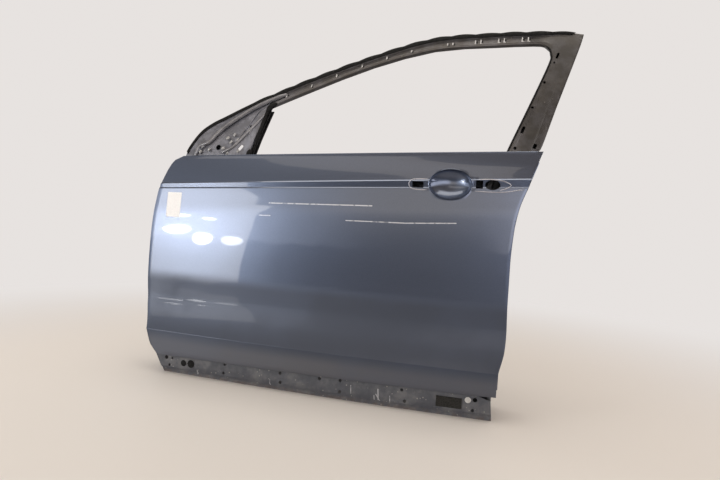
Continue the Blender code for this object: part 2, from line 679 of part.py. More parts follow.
def backing_point(x, z, inboard):
    """A point this far behind the skin's facets, with the coach lines bridged straight across."""
    rows = [row for row in skin_rows() if row[0] not in COACH_LINES]
    places = [Vector((0, skin_depth(x, row_height(row, x)), row_height(row, x))) for row in rows]
    normals = [Vector((0, b.z - a.z, a.y - b.y)).normalized() for a, b in zip(places, places[1:])]
    k = max(i for i in range(len(places) - 1) if i == 0 or places[i].z <= z)
    shifted = []
    for i in (k, k + 1):
        first, second = normals[max(i - 1, 0)], normals[min(i, len(normals) - 1)]
        shifted.append(places[i] + (first + second) * inboard / (1 + first.dot(second)))
    share = (z - places[k].z) / (places[k + 1].z - places[k].z)
    return shifted[0].lerp(shifted[1], share) + Vector((x, 0, 0))


def flange_point(x, z):
    """A point of the inner panel's flange, on its cabin side: in the hem, or behind the closing panel."""
    crease = height(CREASE_LINE, x)
    if z >= crease:
        return backing_point(x, z, SKIN_T + SEAM_GAP + INNER_T)
    low = SILL_FLANGE_DEPTH + plan_bow(x) + SILL_T + WELD_GAP + INNER_T
    high = skin_depth(x, crease) + SKIN_T + SEAM_GAP + INNER_T
    share = min(max((z - END_FLANGE_TOP) / (crease - END_FLANGE_TOP), 0.0), 1.0)
    share = share * share * (3 - 2 * share)
    return Vector((x, low + (high - low) * share, z))


def pad_edges(middle):
    """The four heights at which a hinge pad starts to rise, is up, starts to fall and is down."""
    half = HINGE_PAD[1] / 2
    return [middle - half - HINGE_PAD_SLOPE, middle - half, middle + half, middle + half + HINGE_PAD_SLOPE]


def row_heights(edge, top):
    """Heights at which the skin's rows meet one of its edges, from the crease up."""
    rows = [row for row in skin_rows() if row[0] not in ("low_coach", "high_coach")]
    zs = [row_height(row, edge(row_height(row, 0.5))) for row in rows]
    return [z for z in zs if height(CREASE_LINE, 0) <= z < top - TOP_CORNER]


def pan_stations():
    """Stations round the pan: down the front wall, along the floor, up the rear wall.

    Each is (foot of the wall, outer edge of the flange, direction into the pan), in side view.
    """
    front_top = PAN_TOP_FRONT
    pads = pad_edges(UPPER_HINGE_Z) + pad_edges(LOWER_HINGE_Z)
    pads += [z for z, x in FRONT_WALL if x == FRONT_WALL_X]
    rows = [z for z in row_heights(front_edge, front_top) if min(abs(z - p) for p in pads) > 0.004]
    stations = []
    for z in sorted(rows + pads + [front_top], reverse=True) + [0.085, END_FLANGE_TOP]:
        in_hem = z > height(CREASE_LINE, 0) - 0.001
        edge = front_edge(z) + HEM_OUTER_R + FLANGE_EDGE_GAP if in_hem else sill_front_flange(z)
        stations.append(((front_wall(z), z), (edge, z), (1, 0)))
    x0, x1 = front_wall(FLOOR_Z), rear_wall(FLOOR_Z)
    stations.append(((x0, FLOOR_Z), (SILL_FRONT_BOTTOM_X + 0.002, 0.0), (1, 1)))
    for i in range(1, FLOOR_STEPS):
        x = x0 + (x1 - x0) * i / FLOOR_STEPS
        stations.append(((x, FLOOR_Z), (x, 0.0), (0, 1)))
    stations.append(((x1, FLOOR_Z), (SILL_REAR_BOTTOM_X, 0.0), (-1, 1)))
    stations.append(((rear_wall(END_FLANGE_TOP), END_FLANGE_TOP), (SILL_REAR_TOP_X, END_FLANGE_TOP), (-1, 0)))
    for z in sorted(row_heights(rear_edge, PAN_TOP_REAR) + [PAN_TOP_REAR]):
        stations.append(((rear_wall(z), z), (rear_edge(z) - HEM_OUTER_R - FLANGE_EDGE_GAP, z), (-1, 0)))
    return stations


def pan_profile(foot, edge, inward):
    """Points across the pan at one station, from the edge of the flange over the wall to the face."""
    (x, z), (u, v) = foot, inward
    start = flange_point(x, z).y + WALL_BEND
    depths = [start]
    pad_low, pad_high = HINGE_Y - HINGE_PAD[0] / 2, HINGE_Y + HINGE_PAD[0] / 2
    for depth in (pad_low - HINGE_PAD_SLOPE, pad_low, pad_high, FACE_Y - WALL_SHOULDER):
        depths.append(max(depth, depths[-1] + 0.002))
    wall = [Vector((x, depth, z)) for depth in depths]
    for middle in (UPPER_HINGE_Z, LOWER_HINGE_Z):
        if inward == (1, 0) and abs(z - middle) < HINGE_PAD[1] / 2 + 0.0001:
            wall[2].x -= HINGE_PAD_RAISE
            wall[3].x -= HINGE_PAD_RAISE
    bend = flange_point(x - u * WALL_BEND, z - v * WALL_BEND)
    face = Vector((x + u * WALL_SHOULDER, FACE_Y, z + v * WALL_SHOULDER))
    return [flange_point(*edge), bend] + wall + [face]


def aperture_point(angle, grow, depth):
    """A point round the big opening: a rounded rectangle as one formula."""
    x, z, a, b = MODULE_APERTURE
    n = APERTURE_SQUARENESS
    reach = (abs(math.cos(angle) / (a + grow)) ** n + abs(math.sin(angle) / (b + grow)) ** n) ** (-1 / n)
    return Vector((x + reach * math.cos(angle), depth, z + reach * math.sin(angle)))


def pan_mesh():
    """The deep-drawn pan: flange, walls and floor, face, and a stepped and lipped opening in the face."""
    bm = bmesh.new()
    profiles = [[bm.verts.new(p) for p in pan_profile(*station)] for station in pan_stations()]
    for left, right in zip(profiles, profiles[1:]):
        for a, b, c, d in zip(left, left[1:], right[1:], right):
            bm.faces.new((a, b, c, d))
    ring = [profile[-1] for profile in profiles]
    rear_x = rear_wall(PAN_TOP_REAR) - WALL_SHOULDER - TOP_CORNER
    front_x = front_wall(PAN_TOP_FRONT) + WALL_SHOULDER + TOP_CORNER
    for i in range(TOP_STEPS + 1):
        x = rear_x + (front_x - rear_x) * i / TOP_STEPS
        ring.append(bm.verts.new((x, FACE_Y, height(BELT_LINE, x) - PANEL_TOP_DROP)))
    low = FACE_Y - APERTURE_STEP
    steps = (
        (APERTURE_LAND, FACE_Y), (APERTURE_LAND - APERTURE_STEP, low), (0.0, low), (0.0, low - APERTURE_LIP),
    )
    outer = ring
    for grow, depth in steps:
        inner = []
        for v in ring:
            angle = math.atan2(v.co.z - MODULE_APERTURE[1], v.co.x - MODULE_APERTURE[0])
            inner.append(bm.verts.new(aperture_point(angle, grow, depth)))
        for i, (a, b) in enumerate(zip(outer, inner)):
            j = (i + 1) % len(ring)
            bm.faces.new((b, inner[j], outer[j], a))
        outer = inner
    return finished("inner_panel", bm)


def seam_block(mesh, low, high):
    """A block round the part of the mesh between two places along X, None being the mesh's own end."""
    xs, ys, zs = zip(*(v.co for v in mesh.vertices))
    low = min(xs) - HEM_OUTER_R if low is None else low
    high = max(xs) + HEM_OUTER_R if high is None else high
    y0, y1, z0, z1 = min(ys) - HEM_OUTER_R, max(ys) + HEM_OUTER_R, min(zs) - HEM_OUTER_R, max(zs) + HEM_OUTER_R
    outline = [Vector((low, y, z)) for y, z in ((y0, z0), (y0, z1), (y1, z1), (y1, z0))]
    return prism(outline, Vector((high - low, 0, 0)))


def inner_panel(parent):
    """One pressing from a blank of three sheets, laser-welded edge to edge before it is drawn."""
    front, rear = PANEL_SEAMS
    half = WELD_GAP / 2
    spans = (
        ("inner_panel_front", None, front - half), ("inner_panel", front + half, rear - half),
        ("inner_panel_rear", rear + half, None),
    )
    for name, low, high in spans:
        mesh = pan_mesh()
        item = sheet(name, mesh, INNER_T, undercoat(), parent)
        cut(item, [seam_block(mesh, low, high)], "INTERSECT")
        cut(item, inner_panel_punches())


def inner_panel_punches():
    """Everything that is punched through the inner panel."""
    behind, beyond = FACE_Y - 0.02, FACE_Y + 0.02
    x, z, r = SPEAKER_HOLE
    punches = [through_y(ellipse(r, r, 24), x, z, behind, beyond)]
    for x, z in TRIM_CLIP_HOLES:
        punches.append(through_y(ellipse(TRIM_CLIP_R, TRIM_CLIP_R, 6), x, z, behind, beyond))
    for x in DRAIN_SLOTS:
        slot = ellipse(*DRAIN_SLOT_SIZE, 12)
        punches.append(through_z(slot, x, DRAIN_SLOT_Y + plan_bow(x), FLOOR_Z - 0.01, FLOOR_Z + 0.01))
    low, high = HINGE_FACE_X - 0.01, FRONT_WALL_X + 0.012
    punches += hinge_bolts(HINGE_BOLT_R, low, high)
    punches += check_strap_punches(low, high)
    punches.append(through_x(ellipse(WIRING_R, WIRING_R, 16), HINGE_Y, WIRING_Z, low, high))
    punches += latch_punches()
    return punches


def hinge_bolts(radius, low, high, middles=(UPPER_HINGE_Z, LOWER_HINGE_Z)):
    zs = [middle + side * HINGE_BOLT_SPACING / 2 for middle in middles for side in (-1, 1)]
    return [through_x(ellipse(radius, radius, 10), HINGE_Y, z, low, high) for z in zs]


def check_strap_punches(low, high):
    punches = [through_x(rounded_box(*CHECK_STRAP_SLOT, 0.004), HINGE_Y, CHECK_STRAP_Z, low, high)]
    bolt = ellipse(CHECK_STRAP_BOLT_R, CHECK_STRAP_BOLT_R, 10)
    for side in (-1, 1):
        y = HINGE_Y + side * CHECK_STRAP_BOLT_SPACING / 2
        punches.append(through_x(bolt, y, CHECK_STRAP_Z, low, high))
    return punches


def latch_punches():
    """The slot that the striker enters, and three screw holes round it."""
    x = rear_wall(LATCH_Z)
    punches = [through_x(rounded_box(*LATCH_SLOT, 0.006), LATCH_Y, LATCH_Z, x - 0.02, x + 0.015)]
    for y, z in LATCH_BOLTS:
        shape = ellipse(LATCH_BOLT_R, LATCH_BOLT_R, 10)
        punches.append(through_x(shape, LATCH_Y + y, LATCH_Z + z, x - 0.02, x + 0.015))
    return punches


def sill_closing_panel(parent):
    """The closing panel: bottom flange, joggle, face and the tongue that runs up behind the lip."""
    lip = LIP_LINE[0]
    heights = (
        0.0, SILL_FLANGE_TOP - 0.001, SILL_FLANGE_TOP + 0.003, 0.034, lip - 0.003, lip + 0.005, SILL_TOP,
    )
    rows = []
    for z in heights:
        share = min(z / lip, 1.0)
        x0 = SILL_FRONT_BOTTOM_X + (SILL_FRONT_TOP_X - SILL_FRONT_BOTTOM_X) * share
        x1 = SILL_REAR_BOTTOM_X + (SILL_REAR_TOP_X - SILL_REAR_BOTTOM_X) * share
        if z > lip:
            x0, x1 = SILL_TONGUE_X
        xs = [x0 + (x1 - x0) * i / SILL_STEPS for i in range(SILL_STEPS + 1)]
        rows.append([Vector((x, sill_depth(x, z), z)) for x in xs])
    item = sheet("sill_closing_panel", grid_mesh("sill_closing_panel", rows), SILL_T, undercoat(), parent)
    holes = [(x, z, r, 8) for x, z, r in SILL_CLIP_HOLES]
    holes += [(x, z, r * PLUG_NECK + PLUG_GAP, PLUG_SIDES) for x, z, r in SILL_PLUGS.values()]
    cut(item, [through_y(ellipse(r, r, sides), x, z, 0.0, 0.06) for x, z, r, sides in holes])


def sill_plug(name, material, parent):
    """A blanking plug: domed head outside, neck through the hole, lip behind."""
    x, z, r = SILL_PLUGS[name]
    neck = r * PLUG_NECK
    head, back = -PLUG_GAP - PLUG_HEAD, SILL_T + PLUG_GAP
    profile = (
        (0.0, head), (r * 0.75, head), (r, head + PLUG_HEAD * 0.6), (r, -PLUG_GAP), (neck, -PLUG_GAP),
        (neck, back), (neck + 0.0008, back), (neck - 0.0008, back + 0.0025), (0.0, back + 0.0025),
    )
    bm = bmesh.new()
    rings = []
    for radius, depth in profile:
        count = 1 if radius == 0.0 else PLUG_SIDES
        ring = []
        for i in range(count):
            a = 2 * math.pi * i / PLUG_SIDES
            px, pz = x + radius * math.cos(a), z + radius * math.sin(a)
            ring.append(bm.verts.new((px, sill_depth(px, 0.04) + depth, pz)))
        rings.append(ring)
    for low, high in zip(rings, rings[1:]):
        for i in range(PLUG_SIDES):
            j = (i + 1) % PLUG_SIDES
            corners = [low[i % len(low)], low[j % len(low)], high[j % len(high)], high[i % len(high)]]
            bm.faces.new(list(dict.fromkeys(corners)))
    bmesh.ops.recalc_face_normals(bm, faces=bm.faces)
    place(name, finished(name, bm), material, parent)


def foam_pad(parent):
    """A strip of black foam stuck to the closing panel."""
    x0, x1, z0, z1 = FOAM_PAD
    front = WELD_GAP + FOAM_PAD_T
    xs = [x0 + (x1 - x0) * i / 3 for i in range(4)]
    rows = [[Vector((x, sill_depth(x, z) - front, z)) for x in xs] for z in (z0, z1)]
    sheet("foam_pad", grid_mesh("foam_pad", rows), FOAM_PAD_T, black_foam(), parent)


def catmull(a, b, c, d, t):
    return 0.5 * (2 * b + (c - a) * t + (2 * a - 5 * b + 4 * c - d) * t**2 + (3 * b - a - 3 * c + d) * t**3)


def frame_stations():
    """The frame's ribs with the steps between them filled in, by a curve that breaks at corners."""
    flat = [(*rib[0], *rib[1], *rib[2:5]) for rib in FRAME_RIBS]
    stations = []
    for i, (rib, steps) in enumerate(zip(FRAME_RIBS[:-1], FRAME_RIB_STEPS)):
        before = flat[i] if rib[5] or i == 0 else flat[i - 1]
        after = flat[i + 1] if FRAME_RIBS[i + 1][5] else flat[i + 2]
        for step in range(steps):
            t = step / steps
            stations.append([catmull(*values, t) for values in zip(before, flat[i], flat[i + 1], after)])
    return stations + [list(flat[-1])]


def across(station, distance):
    """A place in side view this far from a station's outer edge towards the opening."""
    outer, opening = Vector((station[0], 0, station[1])), Vector((station[2], 0, station[3]))
    return outer + (opening - outer).normalized() * distance


def opening_normals(stations):
    """In side view, the direction from the opening's edge into the frame at each station, mitred at bends."""
    points = [Vector((s[2], 0, s[3])) for s in stations]
    sides = []
    for a, b in zip(points, points[1:]):
        along = (b - a).normalized()
        sides.append(Vector((-along.z, 0, along.x)))
    normals = []
    for first, second in zip(sides[:1] + sides, sides + sides[-1:]):
        normals.append((first + second) / (1 + first.dot(second)))
    return normals


def window_frame_outer(parent):
    """Mirror sail, header and rear pillar in one pressing: border, channel, land and a lip at the opening."""
    rows = []
    stations = frame_stations()
    for station, normal in zip(stations, opening_normals(stations)):
        border, land, channel = station[4:7]
        width = math.hypot(station[2] - station[0], station[3] - station[1])
        floor_start, floor_end = border + FRAME_BEND, width - land - FRAME_BEND
        marks = [(0.0, 0.0), (border, 0.0), (floor_start, channel)]
        marks += [(floor_start + (floor_end - floor_start) * s, channel) for s in (0.33, 0.67)]
        marks += [(floor_end, channel), (width - land, 0.0), (width - land * 0.5, 0.0)]
        row = []
        for distance, inboard in marks:
            p = across(station, distance)
            row.append(frame_point(p.x, p.z, inboard))
        end = Vector((station[2], 0, station[3]))
        start = end + normal * FRAME_LIP_START
        row.append(frame_point(start.x, start.z))
        row += [frame_point(end.x, end.z, FRAME_LIP_START), frame_point(end.x, end.z, FRAME_LIP_END)]
        rows.append(row)
    item = sheet("window_frame_outer", grid_mesh("window_frame_outer", rows), FRAME_T, undercoat(), parent)
    cut(item, frame_punches())


def frame_punches():
    """Slots for the trim tabs in the header, and the holes in the rear pillar and the mirror sail."""
    def punch(shape, x, z, tilt=0.0):
        middle = frame_depth(x, z)
        return through_y(shape, x, z, middle - 0.015, middle + 0.020, tilt)

    wide, tall = TAB_SLOT
    slot = [(wide / 2, tall / 2), (-wide / 2, tall / 2), (-wide / 2, -tall / 2), (wide / 2, -tall / 2)]
    punches = [punch(slot, x, z) for x, z in HEADER_TAB_SLOTS]
    for x, z, wide, tall in PILLAR_SLOTS:
        punches.append(punch(rounded_box(wide, tall, wide * 0.3, 1), x, z, -PILLAR_LEAN))
    for x, z, r in PILLAR_HOLES + SAIL_HOLES:
        punches.append(punch(ellipse(r, r, 8), x, z))
    x, z, long, wide, tilt = SAIL_SLOT
    punches.append(punch(rounded_box(long, wide, wide * 0.45, 4), x, z, tilt))
    return punches


def frame_back_depth(x, z):
    """Depth of the frame's inboard face: parallel to the outer one, but flush with the panel at the belt."""
    return max(frame_depth(x, z) + FRAME_BOX, FACE_Y - INNER_T - WELD_GAP)


def window_frame_inner(parent):
    """The inboard half of the frame, which makes a box section with the outer one."""
    rows = []
    stations = frame_stations()
    behind = FRAME_T + WELD_GAP
    for station, normal in zip(stations, opening_normals(stations)):
        start, border = across(station, 0.0), across(station, station[4])
        flange = frame_depth(start.x, start.z) + (behind + FRAME_T) * FLANGE_LEAN
        slope = (frame_depth(border.x, border.z) - frame_depth(start.x, start.z)) / station[4]
        row = []
        for distance, extra in ((0.0005, 0.0), (FRAME_FLANGE - 0.0015, 0.0), (FRAME_FLANGE, 0.0015)):
            p = across(station, distance)
            row.append(Vector((p.x, flange + slope * distance + extra, p.z)))
        end = Vector((station[2], 0, station[3]))
        wall, edge = across(station, FRAME_FLANGE), across(station, FRAME_FLANGE + FRAME_BEND)
        turn, lip = end + normal * (behind + FRAME_BEND), end + normal * behind
        back = [(edge.lerp(turn, share), 0.0) for share in (0.0, 0.42, 0.76, 1.0)]
        for p, short in [(wall, FRAME_BEND)] + back + [(lip, FRAME_BEND)]:
            row.append(Vector((p.x, frame_back_depth(p.x, p.z) - short, p.z)))
        row.append(frame_point(lip.x, lip.z, 0.0055))
        rows.append(row)
    mesh = grid_mesh("window_frame_inner", rows, flip=True)
    item = sheet("window_frame_inner", mesh, FRAME_T, undercoat(), parent)
    outline = [Vector((x, FACE_Y - 0.02, z)) for x, z in SAIL_WINDOW]
    cut(item, [prism(outline, Vector((0, 0.08, 0)))])


def header_seal(parent):
    """The black strip round the sail and along the header, whose upper edge is scalloped over the header."""
    stations = frame_stations()
    edges = [across(s, 0.0) for s in stations]
    laps = [across(s, SEAL_LAP) for s in stations]
    last = max(range(len(edges)), key=lambda i: edges[i].x) - 1
    rows, travelled = [], 0.0
    for i in range(SEAL_FROM_STATION, last):
        waved = edges[i].x > SEAL_WAVES_FROM_X
        length = (edges[i + 1] - edges[i]).length if waved else 0.0
        count = max(1, round(length / (SEAL_PITCH / SEAL_STEPS_PER_WAVE)))
        for step in range(count + (i == last - 1)):
            t = step / count
            edge, lap = edges[i].lerp(edges[i + 1], t), laps[i].lerp(laps[i + 1], t)
            depth = [
                frame_depth(a.x, a.z) + (frame_depth(b.x, b.z) - frame_depth(a.x, a.z)) * t
                for a, b in ((edges[i], edges[i + 1]), (laps[i], laps[i + 1]))
            ]
            phase = (travelled + length * t) / SEAL_PITCH
            reach = SEAL_REACH + SEAL_WAVE * abs(math.sin(math.pi * phase))
            top = edge + (edge - lap).normalized() * reach
            front = WELD_GAP + SEAL_T
            slope = (depth[1] - depth[0]) / (lap - edge).length
            row = [
                Vector((top.x, depth[0] - slope * reach - front, top.z)),
                Vector((edge.x, depth[0] - front, edge.z)),
                Vector((lap.x, depth[1] - front, lap.z)),
            ]
            rows.append(row)
        travelled += length
    sheet("header_seal", grid_mesh("header_seal", rows), SEAL_T, black_rubber(), parent)


def run_place(z, rear):
    """Place X of the wall that a glass channel lies against, and depth Y of its outboard side."""
    foot = FRAME_RIBS[-1][1] if rear else FRAME_RIBS[6][1]
    slope = REAR_RUN_SLOPE if rear else RUN_SLOPE
    x = foot[0] + slope * (z - foot[1])
    below = max(0.0, height(BELT_LINE, x) - z)
    depth = frame_depth(x, max(z, height(BELT_LINE, x))) + RUN_SET - RUN_LEAN * below + RUN_CURVE * below**2
    return x, depth


def run_channel(name, top, rear, material, parent, inset=0.0, thickness=RUN_T, from_step=0):
    """A U-shaped channel that is open towards the glass, from this step of its height up."""
    facing = -1 if rear else 1
    rows = []
    for i in range(from_step, RUN_STEPS + 1):
        z = RUN_BOTTOM + (top - RUN_BOTTOM) * i / RUN_STEPS
        x, y = run_place(z, rear)
        wall, mouth = x + facing * (WELD_GAP + inset), x + facing * (WELD_GAP + RUN_DEPTH)
        near, far = y + inset, y + RUN_WIDTH - inset
        rows.append([Vector(p) for p in ((mouth, near, z), (wall, near, z), (wall, far, z), (mouth, far, z))])
    sheet(name, grid_mesh(name, rows, flip=not rear), thickness, material, parent)


def run_bracket(name, rear, parent):
    """A bent strip from the foot of a glass channel to the inner panel."""
    facing = -1 if rear else 1
    rows = []
    for z in (RUN_BOTTOM + 0.006, RUN_BOTTOM + 0.006 + RUN_BRACKET_WIDTH):
        x, y = run_place(z, rear)
        near = y + RUN_WIDTH + WELD_GAP
        far = FACE_Y - INNER_T - WELD_GAP - STIFFENER_T
        turn = x - facing * 0.006
        foot = turn - facing * RUN_BRACKET_FOOT
        outline = ((x + facing * RUN_DEPTH, near), (turn, near), (turn, far), (foot, far))
        rows.append([Vector((px, py, z)) for px, py in outline])
    sheet(name, grid_mesh(name, rows, flip=not rear), STIFFENER_T, stiffener_coat(), parent)


def belt_sweep(profile):
    """Rows along the belt line, one for each point (depth at x, height above the belt line) of a profile."""
    x0, x1 = BELT_STIFFENER_X
    xs = [x0 + (x1 - x0) * i / BELT_STIFFENER_STEPS for i in range(BELT_STIFFENER_STEPS + 1)]
    return [[Vector((x, depth(x), height(BELT_LINE, x) + above)) for x in xs] for depth, above in profile]


def belt_reinforcement_inner(parent):
    """A hat section along the top of the inner panel."""
    seat = FACE_Y - INNER_T - WELD_GAP
    hat = seat - BELT_HAT_DEPTH
    profile = [
        (lambda x: seat, -0.074), (lambda x: seat, -0.060), (lambda x: hat, -0.054), (lambda x: hat, -0.022),
        (lambda x: seat, -0.016), (lambda x: seat, -0.007),
    ]
    mesh = grid_mesh("belt_reinforcement_inner", belt_sweep(profile), flip=True)
    sheet("belt_reinforcement_inner", mesh, STIFFENER_T, stiffener_coat(), parent)


def belt_reinforcement_outer(parent):
    """A stiffener behind the belt flange of the skin: it stands off the skin and comes back to it below."""
    def belt(x):
        return SKIN_SECTION[-1][3] + plan_bow(x)

    def near_skin(x):
        return skin_depth(x, height(BELT_LINE, x) - 0.040) + SKIN_T + 0.0012

    profile = [
        (near_skin, -0.0425), (near_skin, -0.0385), (lambda x: belt(x) + 0.0120, -0.030),
        (lambda x: belt(x) + 0.0120, -0.021), (lambda x: belt(x) + BELT_FLANGE_TURN + WELD_GAP, -0.015),
        (lambda x: belt(x) + BELT_FLANGE_TURN + WELD_GAP, -0.0025),
    ]
    mesh = grid_mesh("belt_reinforcement_outer", belt_sweep(profile))
    sheet("belt_reinforcement_outer", mesh, STIFFENER_T * 0.75, stiffener_coat(), parent)


def hinge_stiffener(name, middle, parent):
    """A thick plate behind a hinge pad, drilled with the wall."""
    x = FRONT_WALL_X + INNER_T + WELD_GAP
    wide, tall = HINGE_PAD[0] + 0.010, HINGE_PAD[1] + 2 * STIFFENER_MARGIN
    outline = rounded_box(wide, tall, 0.010, 3)
    plate = through_x(outline, HINGE_Y, middle, x, x + STIFFENER_T)
    item = place(name, plate, stiffener_coat(), parent)
    cut(item, hinge_bolts(HINGE_BOLT_R, x - 0.01, x + 0.02, (middle,)))


def tapping_plate(name, middle, parent):
    """The threaded plate that the hinge bolts screw into."""
    x = FRONT_WALL_X + INNER_T + STIFFENER_T + 2 * WELD_GAP
    wide, tall, thick = TAPPING_PLATE
    plate = through_x(rounded_box(wide, tall, 0.004, 2), HINGE_Y, middle, x, x + thick)
    item = place(name, plate, stiffener_coat(), parent)
    cut(item, hinge_bolts(HINGE_THREAD_R, x - 0.01, x + 0.02, (middle,)))


def check_strap_reinforcement(parent):
    """The plate behind the check strap's slot."""
    x = FRONT_WALL_X + INNER_T + WELD_GAP
    outline = rounded_box(*CHECK_STRAP_PLATE, 0.006, 3)
    plate = through_x(outline, HINGE_Y, CHECK_STRAP_Z, x, x + STIFFENER_T)
    item = place("check_strap_reinforcement", plate, stiffener_coat(), parent)
    cut(item, check_strap_punches(x - 0.01, x + 0.02))


def latch_reinforcement(parent):
    """The plate behind the latch, bent to the line of the rear wall."""
    wide, tall = LATCH_PLATE
    rows = []
    for i in range(5):
        z = LATCH_Z + tall * (i / 4 - 0.5)
        x = rear_wall(z) - INNER_T - 0.0005
        rows.append([Vector((x, LATCH_Y + wide * (j - 0.5), z)) for j in (0, 1)])
    mesh = grid_mesh("latch_reinforcement", rows)
    item = sheet("latch_reinforcement", mesh, STIFFENER_T, stiffener_coat(), parent)
    cut(item, latch_punches())


def handle_reinforcement(parent):
    """The plate behind the handle: a saddle under the bowl, open for the handle's feet and the lock."""
    x0, x1 = HANDLE_PLATE_X
    xs = [x0 + (x1 - x0) * i / HANDLE_PLATE_STEPS for i in range(HANDLE_PLATE_STEPS + 1)]
    rows = []
    bottom, middle, top = HANDLE_PLATE_EDGES
    for line, above in ((LOW_COACH_LINE, bottom), (LOW_COACH_LINE, middle), (HIGH_COACH_LINE, top)):
        rows.append([backing_point(x, height(line, x) + above, SKIN_T + HANDLE_PLATE_GAP) for x in xs])
    mesh = grid_mesh("handle_reinforcement", rows)
    item = sheet("handle_reinforcement", mesh, STIFFENER_T * 0.75, stiffener_coat(), parent)
    centre_z = height(LOW_COACH_LINE, BOWL_X) + BOWL_ABOVE_COACH
    around = ellipse(BOWL_HALF_LENGTH + 0.002, BOWL_HALF_HEIGHT + 0.002, 20)
    cut(item, [through_y(around, BOWL_X, centre_z, 0.03, 0.12)] + handle_punches(grow=0.002))


def mirror_reinforcement(parent):
    """The plate that the mirror bolts to, behind the sail."""
    x0, x1, z0, z1 = MIRROR_PLATE
    rows = []
    for i in range(4):
        z = z0 + (z1 - z0) * i / 3
        xs = [x0 + (x1 - x0) * j / 4 for j in range(5)]
        rows.append([frame_point(x, z, MIRROR_PLATE_SET) for x in xs])
    mesh = grid_mesh("mirror_reinforcement", rows)
    item = sheet("mirror_reinforcement", mesh, STIFFENER_T, stiffener_coat(), parent)
    x, z, r = SAIL_HOLES[0]
    cut(item, [through_y(ellipse(r, r, 12), x, z, 0.08, 0.16)])


def beam_height(x):
    (x0, z0), (x1, z1) = BEAM_FRONT, BEAM_REAR
    return z0 + (z1 - z0) * (x - x0) / (x1 - x0)


def impact_beam(parent):
    """The side impact beam: a straight steel tube."""
    start, end = (Vector((x, BEAM_Y, z)) for x, z in (BEAM_FRONT, BEAM_REAR))
    along = (end - start).normalized()
    side = Vector((0, 1, 0))
    up = along.cross(side)
    bm = bmesh.new()
    rings = []
    bore = BEAM_R - BEAM_WALL
    for point, radius in ((start, BEAM_R), (end, BEAM_R), (end, bore), (start, bore)):
        circle = ellipse(radius, radius, BEAM_SIDES)
        rings.append([bm.verts.new(point + side * u + up * v) for u, v in circle])
    for low, high in zip(rings, rings[1:] + rings[:1]):
        for i in range(BEAM_SIDES):
            j = (i + 1) % BEAM_SIDES
            bm.faces.new((low[i], low[j], high[j], high[i]))
    bmesh.ops.recalc_face_normals(bm, faces=bm.faces)
    place("impact_beam", finished("impact_beam", bm), stiffener_coat(), parent)


def beam_bracket(name, rear, parent):
    """An angle welded to an end wall and along the inboard side of the beam."""
    facing = -1 if rear else 1
    seat = BEAM_Y + BEAM_R + WELD_GAP
    rows = []
    for side in (-0.5, 0.0, 0.5):
        middle = beam_height(BEAM_REAR[0] if rear else BEAM_FRONT[0])
        z = middle + side * BEAM_BRACKET_HEIGHT
        wall = rear_wall(z) - INNER_T - 0.0005 if rear else FRONT_WALL_X + INNER_T + WELD_GAP
        end = wall + facing * BEAM_BRACKET_LENGTH
        drop = beam_height(end) - middle
        corner = wall + facing * 0.006
        rows.append([
            Vector((wall, seat + 0.042, z)), Vector((wall, seat + 0.006, z)), Vector((corner, seat, z)),
            Vector((end, seat, z + drop)),
        ])
    sheet(name, grid_mesh(name, rows, flip=rear), STIFFENER_T, stiffener_coat(), parent)


def beam_mastic(name, x, parent):
    """A blob of mastic that keeps the skin from drumming on the beam; its foot follows the skin."""
    z = beam_height(x)
    top = BEAM_Y - BEAM_R - WELD_GAP
    bm = bmesh.new()
    feet, heads = [], []
    for u, v in ellipse(MASTIC_R, MASTIC_R * 0.8, 14):
        foot = skin_depth(x + u, z + v) + SKIN_T + 2 * WELD_GAP
        feet.append(bm.verts.new((x + u, foot, z + v)))
        heads.append(bm.verts.new((x + u * 0.8, top, z + v * 0.8)))
    foot = bm.verts.new((x, skin_depth(x, z) + SKIN_T + 2 * WELD_GAP, z))
    bm.faces.new(heads)
    for i, (a, b) in enumerate(zip(feet, heads)):
        j = (i + 1) % len(feet)
        bm.faces.new((a, feet[j], heads[j], b))
        bm.faces.new((feet[j], a, foot))
    bmesh.ops.recalc_face_normals(bm, faces=bm.faces)
    place(name, finished(name, bm), grey_mastic(), parent)


